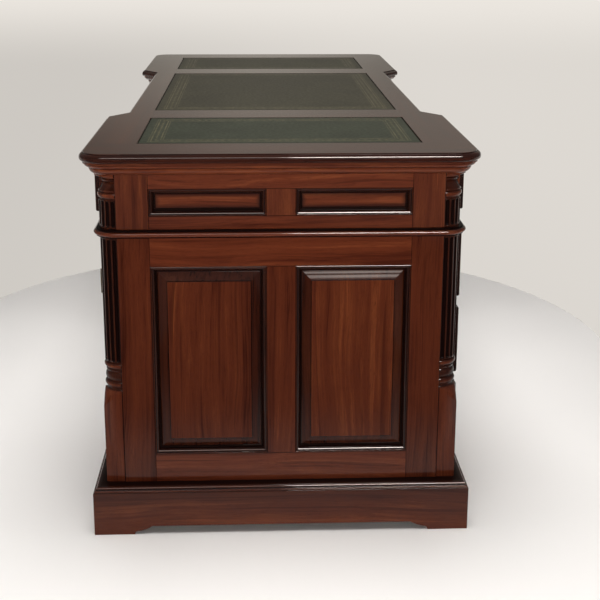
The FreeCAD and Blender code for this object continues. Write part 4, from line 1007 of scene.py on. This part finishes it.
def arch_cutter(axis, start, end, reach):
    """A block with scooped shoulders that cuts the arch between two feet, along one axis of the plinth."""
    low, high = [0.0, 0.0, -OVERRUN], [0.0, 0.0, ARCH_TOP]
    low[axis], high[axis] = start + FOOT_LENGTH + FOOT_CURVE, end - FOOT_LENGTH - FOOT_CURVE
    low[1 - axis], high[1 - axis] = reach[0] - OVERRUN, reach[1] + OVERRUN
    piece = start_block("arch", low, high)
    for way in (1, -1):
        facing = Vector((0.0, 0.0, 0.0))
        facing[axis] = way
        pick_facing(piece, facing)
        height = ARCH_TOP
        for run, rise in ARCH_STEPS:
            draw_out(facing * run * 0.001)
            bpy.ops.transform.resize(value=(1.0, 1.0, (rise + OVERRUN) / (height + OVERRUN)),
                                     center_override=(0.0, 0.0, -OVERRUN * 0.001))
            height = rise
    return piece


class DESK_OT_plinths(bpy.types.Operator):
    """Work the bracket-footed plinths: moulded ledge, hollow inside, arches between the feet"""
    bl_idname = "desk.plinths"
    bl_label = "Plinths"

    def execute(self, context):
        depth = (-PLINTH_SIDE, PLINTH_SIDE)
        for side, span in (("right", PLINTH_X), ("left", flipped(PLINTH_X))):
            piece = start_block(f"finished_{side}_plinth", (span[0], depth[0], 0.0),
                                (span[1], depth[1], PLINTH_TOP))
            # Glaze and painted shade: the top takes a middling value, and PLINTH_STEPS paint its ledge near
            # black.
            pick_facing(piece, UP)
            paint(piece, 0.5)
            work_steps(piece, UP, PLINTH_STEPS)
            hollow = (PLINTH_WALL, PLINTH_WALL, -OVERRUN, PLINTH_TOP)
            mouth = (*PLINTH_LEDGE, PLINTH_TOP - OVERRUN, PLINTH_TOP + OVERRUN)
            holes = [start_block("hole", (span[0] + wall_x, depth[0] + wall_y, low),
                                 (span[1] - wall_x, depth[1] - wall_y, high))
                     for wall_x, wall_y, low, high in (hollow, mouth)]
            cut_away(piece, *holes, arch_cutter(0, *span, depth), arch_cutter(1, *depth, span))
            mark_by(piece, lambda middle, normal: (
                (GRAIN_Y, 0.93) if min(middle.x - span[0], span[1] - middle.x)
                < min(middle.y - depth[0], depth[1] - middle.y) else (GRAIN_X, 0.64)))
            apply_modifier(piece, "BEVEL", width=context.scene.desk_sizes.plinth_arris, segments=2,
                           limit_method="ANGLE", angle_limit=math.radians(50))
            settle(piece, 32)
        return {"FINISHED"}


def drawer_pieces(opening, face, level, back):
    """Front and box of a drawer on the drawer side, in an opening between two places."""
    (left, right), (low, high) = opening, level
    lip_round = bpy.context.scene.desk_sizes.lip_round
    seat = -face - FRONT_SEAT
    front_level = (seat - FRONT_THICK) * 0.001
    plate = start_block("front", (left - LIP, seat - FRONT_THICK, low - LIP), (right + LIP, seat, high + LIP))
    pick_edges_at(plate, 1, front_level)
    round_edges(lip_round, 4)
    # Painted shade on the rounded lip and the back of the front, which lie in shadow; the face inside the rim
    # stays clear.
    pick(plate, "VERT", lambda vertex: vertex.co.y > front_level + lip_round * 0.2)
    paint(plate, 0.9)
    pick_facing(plate, (0, -1, 0))
    bpy.ops.mesh.inset(thickness=FRONT_RIM * 0.001, depth=0.0)
    paint(plate, 0.0)
    bpy.ops.mesh.select_all(action="DESELECT")
    left, right, inner_back = left + SIDE_PLAY, right - SIDE_PLAY, seat + INNER_FRONT
    add_block((left, seat, low + SIDE_PLAY), (right, inner_back, high - SIDE_PLAY))
    bpy.ops.mesh.select_all(action="SELECT")
    mark(plate, GRAIN_X, 0.0)
    depth, rise = (inner_back, back), (low + FOOT_PLAY, high - HEAD_PLAY)
    between = (left + BOX_WALL, right - BOX_WALL)
    bottom = (low + BOX_BOTTOM[0], low + BOX_BOTTOM[1])
    box = board_piece("box", [((left, between[0]), depth, rise, GRAIN_Y),
                              ((between[1], right), depth, rise, GRAIN_Y),
                              (between, (back - BOX_WALL, back), rise, GRAIN_X),
                              (between, (inner_back, back - BOX_WALL), bottom, GRAIN_X)], 5)
    return plate, box


def turned_knob():
    """A turned knob standing along Z at the origin, grown ring by ring from its foot."""
    clear_selection()
    radius, height = KNOB_RINGS[0][0], 0.0
    bpy.ops.mesh.primitive_circle_add(vertices=40, radius=radius * 0.001, fill_type="NGON")
    piece = bpy.context.object
    bpy.ops.object.mode_set(mode="EDIT")
    # Painted shade on the knob's foot against the front and on the narrow low rings of its neck.
    paint(piece, 0.9)
    for ring, level in KNOB_RINGS:
        draw_out((0.0, 0.0, (level - height) * 0.001))
        bpy.ops.transform.resize(value=(ring / radius, ring / radius, 1.0), center_override=(0.0, 0.0, 0.0))
        paint(piece, 0.85 if ring < KNOB_NECK[0] and level < KNOB_NECK[1] else 0.0)
        radius, height = ring, level
    bpy.ops.mesh.select_all(action="SELECT")
    bpy.ops.mesh.normals_make_consistent(inside=False)
    mark(piece, GRAIN_Y, 0.5)
    return piece


def placed_knob(knob, name, place, facing):
    """A copy of the knob on a face, its axis along +Y or -Y, with its place in its mesh."""
    copy = copied(knob, name)
    copy.location, copy.rotation_euler = metres(place), (-facing * math.pi / 2, 0.0, 0.0)
    bpy.ops.object.transform_apply()
    return copy


def drawer_copy(made, name, flip_x, flip_y, shift):
    """A copy of a drawer's front or box, reflected to its place and with a figure of its own."""
    piece = copied(made, name)
    open_mesh(piece)
    bpy.ops.transform.resize(value=(flip_x, flip_y, 1.0), center_override=(0.0, 0.0, 0.0))
    bpy.ops.mesh.normals_make_consistent(inside=False)
    layer = bmesh.from_edit_mesh(piece.data).faces.layers.float.get("figure")
    write_values(piece, "FACE", "figure", lambda face: (face[layer] + shift) % 1.0)
    return piece


class DESK_OT_drawers(bpy.types.Operator):
    """Make the fronts, boxes and knobs of the twelve drawers"""
    bl_idname = "desk.drawers"
    bl_label = "Drawers"

    def execute(self, context):
        knob = turned_knob()
        kinds = [("front_right_frieze_drawer", OPENING, SIDE_FACE, FRIEZE_DRAWER, FRIEZE_BOX_BACK,
                  (BLOCK_MIDDLE,)),
                 ("front_centre_frieze_drawer", (-CENTRE_OPENING, CENTRE_OPENING), CENTRE_FACE, FRIEZE_DRAWER,
                  FRIEZE_BOX_BACK, (-CENTRE_KNOB, CENTRE_KNOB))]
        kinds += [(f"right_{level}_drawer", OPENING, SIDE_FACE, rise, PEDESTAL_BOX_BACK, (BLOCK_MIDDLE,))
                  for level, rise in DRAWER_LEVELS.items()]
        linings = plain_woods("drawer_lining", context.scene.desk_finish.lining)
        count = 0
        for name, opening, face, rise, back, places in kinds:
            front, box = drawer_pieces(opening, face, rise, back)
            copies = [(name, 1, 1)]
            if "centre" not in name:
                copies.append((name.replace("right", "left"), -1, 1))
            if "frieze" in name:
                copies += [(other.replace("front", "back"), flip_x, -1) for other, flip_x, _ in copies]
            for drawer, flip_x, flip_y in copies:
                count += 1
                figure = figure_of(count)
                settle(drawer_copy(front, f"finished_{drawer}_front", flip_x, flip_y, figure), 35)
                settle(drawer_copy(box, f"finished_{drawer}_box", flip_x, flip_y, figure), None, linings)
                ground = -face - FRONT_SEAT - FRONT_THICK
                knobs = [placed_knob(knob, "knob", (flip_x * x, flip_y * ground, sum(rise) / 2), -flip_y)
                         for x in places]
                settle(joined(f"finished_{drawer}_knobs", knobs, polished_woods()), 60)
            for made in (front, box):
                bpy.data.objects.remove(made)
        bpy.data.objects.remove(knob)
        return {"FINISHED"}


class DESK_OT_doors(bpy.types.Operator):
    """Make the framed and panelled cupboard doors, their knobs and the brass hinges"""
    bl_idname = "desk.doors"
    bl_label = "Cupboard doors"

    def execute(self, context):
        thick, panel_thick = (DOOR_BACK, SIDE_FACE), (DOOR_BACK, SIDE_FACE - PANEL_SETBACK)
        inner = (DOOR_X[0] + DOOR_STILE, DOOR_X[1] - DOOR_STILE)
        rise = (DOOR_Z[0] + DOOR_RAIL, DOOR_Z[1] - DOOR_RAIL)
        right = [((DOOR_X[0], inner[0]), thick, DOOR_Z, GRAIN_Z),
                 ((inner[1], DOOR_X[1]), thick, DOOR_Z, GRAIN_Z),
                 (inner, thick, (DOOR_Z[0], rise[0]), GRAIN_X), (inner, thick, (rise[1], DOOR_Z[1]), GRAIN_X)]
        knob = turned_knob()
        for side, way, boards, x, first_figure, figure in (
                ("right", 1, right, inner, 21, 0.3),
                ("left", -1, reflections(right), flipped(inner), 33, 0.8)):
            settle(board_piece(f"finished_{side}_door_frame", boards, first_figure))
            settle(panelled(f"finished_{side}_door_panel", x, panel_thick, rise, (0, 1, 0), FIELD_STEPS,
                            GRAIN_Z, figure), BEVEL_LIMIT)
            place = (way * (DOOR_X[0] + DOOR_STILE / 2), SIDE_FACE, sum(DOOR_Z) / 2)
            settle(placed_knob(knob, f"finished_{side}_door_knob", place, 1), 60)
        bpy.data.objects.remove(knob)
        brass = brass_material()
        for node in ("left_door_hinges", "right_door_hinges", "door_hinge_pins"):
            hinge = frame["nodes"][node]
            hinge.data.materials.clear()
            hinge.data.materials.append(brass)
        return {"FINISHED"}


class DESK_OT_interiors(bpy.types.Operator):
    """Make the runners and guides of the drawers and the inner boards of the pedestals"""
    bl_idname = "desk.interiors"
    bl_label = "Runners and inner boards"

    def execute(self, context):
        woods = plain_woods("inner_wood", context.scene.desk_finish.inner)
        low, high = FRIEZE_DRAWER
        strips = (((low - RUNNER_THICK, low), RUNNER_REACH), ((low, low + GUIDE_HEIGHT), 0.0),
                  ((high, high + KICKER_THICK), RUNNER_REACH))
        blocks = across_x([((INNER_AXIS, OPENING_INNER + wide), (HALF_DIVIDER, SIDE_BACK), z, GRAIN_Y)
                           for z, wide in strips], BLOCK_MIDDLE)
        centre = [((CENTRE_OPENING - wide, KNEE_FACE), (HALF_DIVIDER, CENTRE_BACK), z, GRAIN_Y)
                  for z, wide in strips]
        piece = board_piece("finished_frieze_runners", across_x(across_y(blocks + centre)))
        settle(piece, None, woods)
        inner, between = (KNEE_BACK, END_BACK), (INNER_AXIS, OUTER_AXIS)
        floor_top = DRAWER_LEVELS["lower"][0]
        floor, ceiling = (floor_top - FLOOR_BOARD, floor_top), (PEDESTAL[1] - CEILING_BOARD, PEDESTAL[1])
        boards = []
        for z in (floor, ceiling):
            boards.append((inner, BETWEEN_POSTS, z, GRAIN_X))
            boards += across_y([(between, (POST_INNER, SIDE_BACK), z, GRAIN_X)])
        shelf_depth, bearer = (CUPBOARD_BACK[1], POST_INNER), (BEARER_FOOT, SHELF[0])
        boards += [(inner, CUPBOARD_BACK, (floor_top, ceiling[0]), GRAIN_Z),
                   (inner, shelf_depth, SHELF, GRAIN_X),
                   ((KNEE_BACK, KNEE_BACK + BEARER_THICK), shelf_depth, bearer, GRAIN_Y),
                   ((END_BACK - BEARER_THICK, END_BACK), shelf_depth, bearer, GRAIN_Y)]
        boards += across_y([(*LOCATING_BLOCK, GRAIN_X)])
        run = (-SIDE_BACK, CUPBOARD_BACK[0])
        carriers = [((INNER_AXIS, OPENING_INNER + RUNNER_REACH), run, z, GRAIN_Y) for z in DRAWER_RAILS]
        guides = [((INNER_AXIS, OPENING_INNER), run, (level[0], level[0] + GUIDE_HEIGHT), GRAIN_Y)
                  for level in DRAWER_LEVELS.values()]
        boards += across_x(carriers + guides, BLOCK_MIDDLE)
        settle(board_piece("finished_pedestal_interiors", across_x(boards), 17), None, woods)
        return {"FINISHED"}


def backdrop_material(name, colour):
    """A pale backdrop that glows in its own colour to camera and reflections and is matt to other light;
    painted shading makes it brightest at desk height, darker to the left and much darker high up.
    """
    material, graph = new_material(name)
    place = graph.parts(graph.place())
    colour = Vector(colour)
    warm = Vector((colour.x * 1.03, colour.y, colour.z * 0.93))
    aside = graph.math("ABSOLUTE", place["Y"])
    shade = graph.mix(graph.between(place["Y"], -1.6, 1.6), solid(colour * 1.02), solid(colour * 0.86))
    upper = graph.mix(graph.between(aside, 0.0, 1.3), solid(warm * 0.60), solid(warm * 0.36))
    high = graph.mix(graph.between(place["Y"], 0.0, 1.7), solid(warm * 0.37), solid(warm * 0.19))
    for low_edge, high_edge, above in ((0.1, 0.75, solid(colour * 1.19)), (0.85, 1.5, upper),
                                       (1.5, 2.4, high)):
        shade = graph.mix(graph.between(place["Z"], low_edge, high_edge), shade, above)
    path = graph.add("ShaderNodeLightPath").outputs
    seen = graph.math("MAXIMUM", path["Is Camera Ray"],
                      graph.math("MAXIMUM", path["Is Glossy Ray"], path["Is Transmission Ray"]))
    matt = graph.add("ShaderNodeBsdfDiffuse", {"Color": shade})
    glow = graph.add("ShaderNodeEmission", {"Color": shade, "Strength": 1.0})
    both = graph.add("ShaderNodeMixShader", {0: seen, 1: matt.outputs[0], 2: glow.outputs[0]})
    graph.add("ShaderNodeOutputMaterial", {"Surface": both.outputs[0]})
    return material


def floor_material(name, colour):
    """A pale matt floor, faintly uneven, with a painted pool of light that brightens it in front of the desk;
    reflections see it darker everywhere and near black far in front, a painted dimming of what the polish
    mirrors.
    """
    material, graph = new_material(name)
    place = graph.place()
    colour = Vector(colour)
    cloud = graph.between(graph.noise(place, 1.3), 0.3, 0.7)
    tint = graph.mix(cloud, solid(colour * 0.97), solid(colour))
    ahead = graph.parts(place)["X"]
    tint = graph.mix(graph.between(ahead, -1.25, -0.75, 1.0, 0.0), tint, solid(colour * 1.09))
    dimmed = graph.between(ahead, -1.5, -0.95, 0.98, 0.4)
    mirrored = graph.add("ShaderNodeLightPath").outputs["Is Glossy Ray"]
    tint = graph.mix(graph.math("MULTIPLY", dimmed, mirrored), tint, solid((0.0, 0.0, 0.0)))
    graph.surface({"Base Color": tint, "Roughness": 0.6, "Specular IOR Level": 0.2})
    return material


def stage_floor(colour):
    """The round-ended floor: a disc whose near half is drawn out towards the camera."""
    clear_selection()
    bpy.ops.mesh.primitive_circle_add(vertices=160, radius=FLOOR_RADIUS, fill_type="NGON",
                                      location=FLOOR_CENTRE)
    bpy.ops.object.transform_apply()
    floor = bpy.context.object
    floor.name = "stage_floor"
    bpy.ops.object.mode_set(mode="EDIT")
    pick(floor, "VERT", lambda vertex: vertex.co.x < FLOOR_CENTRE[0] - 0.001)
    bpy.ops.transform.translate(value=(-FLOOR_RUN, 0.0, 0.0))
    bpy.ops.mesh.select_all(action="SELECT")
    draw_out((0.0, 0.0, -FLOOR_THICK))
    bpy.ops.mesh.select_all(action="SELECT")
    bpy.ops.mesh.normals_make_consistent(inside=False)
    floor.data.materials.append(floor_material("pale_floor", colour))
    return floor


def stage_backdrop(colour):
    """The ground and the back wall in one sheet, rounded where they meet."""
    clear_selection()
    bpy.ops.mesh.primitive_plane_add(size=1.0, location=WALL_CENTRE)
    wall = bpy.context.object
    wall.name = "stage_backdrop"
    bpy.ops.object.mode_set(mode="EDIT")
    bpy.ops.transform.resize(value=(*WALL_SIZE, 1.0), center_override=WALL_CENTRE)
    pick(wall, "EDGE", lambda edge: all(vertex.co.x > 0.0 for vertex in edge.verts))
    draw_out((0.0, 0.0, WALL_HEIGHT))
    choose(wall)
    bpy.ops.object.transform_apply()
    apply_modifier(wall, "BEVEL", width=WALL_ROUND, segments=16, limit_method="ANGLE")
    bpy.ops.object.shade_smooth()
    wall.data.materials.append(backdrop_material("pale_backdrop", colour))
    return wall


def area_lamp(name, power, place, aim, size, spread, is_card):
    """An area lamp that looks at a point, its spread held in; a lamp only lights, a card only mirrors."""
    lamp = bpy.data.lights.new(name, "AREA")
    lamp.shape, lamp.energy, lamp.spread = "RECTANGLE", power, math.radians(spread)
    lamp.size, lamp.size_y = size
    if is_card:
        lamp.color = CARD_COLOUR
    holder = bpy.data.objects.new(name, lamp)
    holder.location = place
    holder.rotation_euler = (Vector(aim) - Vector(place)).to_track_quat("-Z", "Y").to_euler()
    holder.visible_diffuse, holder.visible_glossy = not is_card, is_card
    bpy.context.scene.collection.objects.link(holder)


def stage_world(surround, wall):
    """A dim room for light and reflections that the camera sees in the backdrop's colour."""
    world = bpy.data.worlds.new("surround")
    world.use_nodes = True
    world.node_tree.nodes.clear()
    graph = Graph(world.node_tree)
    seen = graph.add("ShaderNodeLightPath").outputs["Is Camera Ray"]
    shade = graph.mix(seen, solid(surround), solid(wall))
    light = graph.add("ShaderNodeBackground", {"Color": shade, "Strength": 1.0})
    graph.add("ShaderNodeOutputWorld", {"Surface": light.outputs[0]})
    bpy.context.scene.world = world


def stage_camera():
    """The camera at the end of the desk, solved from the photograph's own lines."""
    level, tilt = CAMERA_YAW, CAMERA_PITCH
    right = Vector((-math.sin(level), -math.cos(level), 0.0))
    up = Vector((math.sin(tilt) * math.cos(level), -math.sin(tilt) * math.sin(level), math.cos(tilt)))
    back = Vector((-math.cos(tilt) * math.cos(level), math.cos(tilt) * math.sin(level), math.sin(tilt)))
    across = right * math.cos(CAMERA_ROLL) + up * math.sin(CAMERA_ROLL)
    upright = up * math.cos(CAMERA_ROLL) - right * math.sin(CAMERA_ROLL)
    lens = bpy.data.cameras.new("camera")
    lens.lens, lens.sensor_width, lens.shift_y = CAMERA_LENS, CAMERA_SENSOR, CAMERA_SHIFT
    holder = bpy.data.objects.new("camera", lens)
    turn = Matrix((across, upright, back)).transposed().to_4x4()
    holder.matrix_world = Matrix.Translation(CAMERA_PLACE) @ turn
    bpy.context.scene.collection.objects.link(holder)
    bpy.context.scene.camera = holder


class DESK_OT_stage(bpy.types.Operator):
    """Set the pale floor and backdrop, the soft lamps, the dim surround and the camera"""
    bl_idname = "desk.stage"
    bl_label = "Stage"

    def execute(self, context):
        stage = context.scene.desk_stage
        floor, wall = stage_floor(stage.floor), stage_backdrop(stage.wall)
        for name, (setting, *where) in LAMPS.items():
            area_lamp(name, getattr(stage, setting), *where)
        stage_world(stage.surround, stage.wall)
        context.scene.view_settings.view_transform = "Standard"
        stage_camera()
        return {"FINISHED"}


STEPS = (DESK_OT_top, DESK_OT_leathers, DESK_OT_cornice, DESK_OT_waist, DESK_OT_frames, DESK_OT_panels,
         DESK_OT_columns, DESK_OT_plinths, DESK_OT_drawers, DESK_OT_doors, DESK_OT_interiors, DESK_OT_stage)


class DESK_PT_sidebar(bpy.types.Panel):
    """The desk's sizes, finishes and making steps"""
    bl_idname = "DESK_PT_sidebar"
    bl_label = "Pedestal desk"
    bl_space_type = "VIEW_3D"
    bl_region_type = "UI"
    bl_category = "Desk"

    def draw(self, context):
        for settings in (context.scene.desk_sizes, context.scene.desk_finish, context.scene.desk_stage):
            box = self.layout.box()
            for key in type(settings).__annotations__:
                box.prop(settings, key)
        for step in STEPS:
            self.layout.operator(step.bl_idname)


CLASSES = (DeskSizes, DeskFinish, DeskStage, *STEPS, DESK_PT_sidebar)


def register():
    for each in CLASSES:
        bpy.utils.register_class(each)
    bpy.types.Scene.desk_sizes = bpy.props.PointerProperty(type=DeskSizes)
    bpy.types.Scene.desk_finish = bpy.props.PointerProperty(type=DeskFinish)
    bpy.types.Scene.desk_stage = bpy.props.PointerProperty(type=DeskStage)


def unregister():
    del bpy.types.Scene.desk_stage
    del bpy.types.Scene.desk_finish
    del bpy.types.Scene.desk_sizes
    for each in reversed(CLASSES):
        bpy.utils.unregister_class(each)


def main():
    """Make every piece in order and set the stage."""
    register()
    for step in STEPS:
        group, name = step.bl_idname.split(".")
        getattr(getattr(bpy.ops, group), name)()


if __name__ == "__main__":
    main()
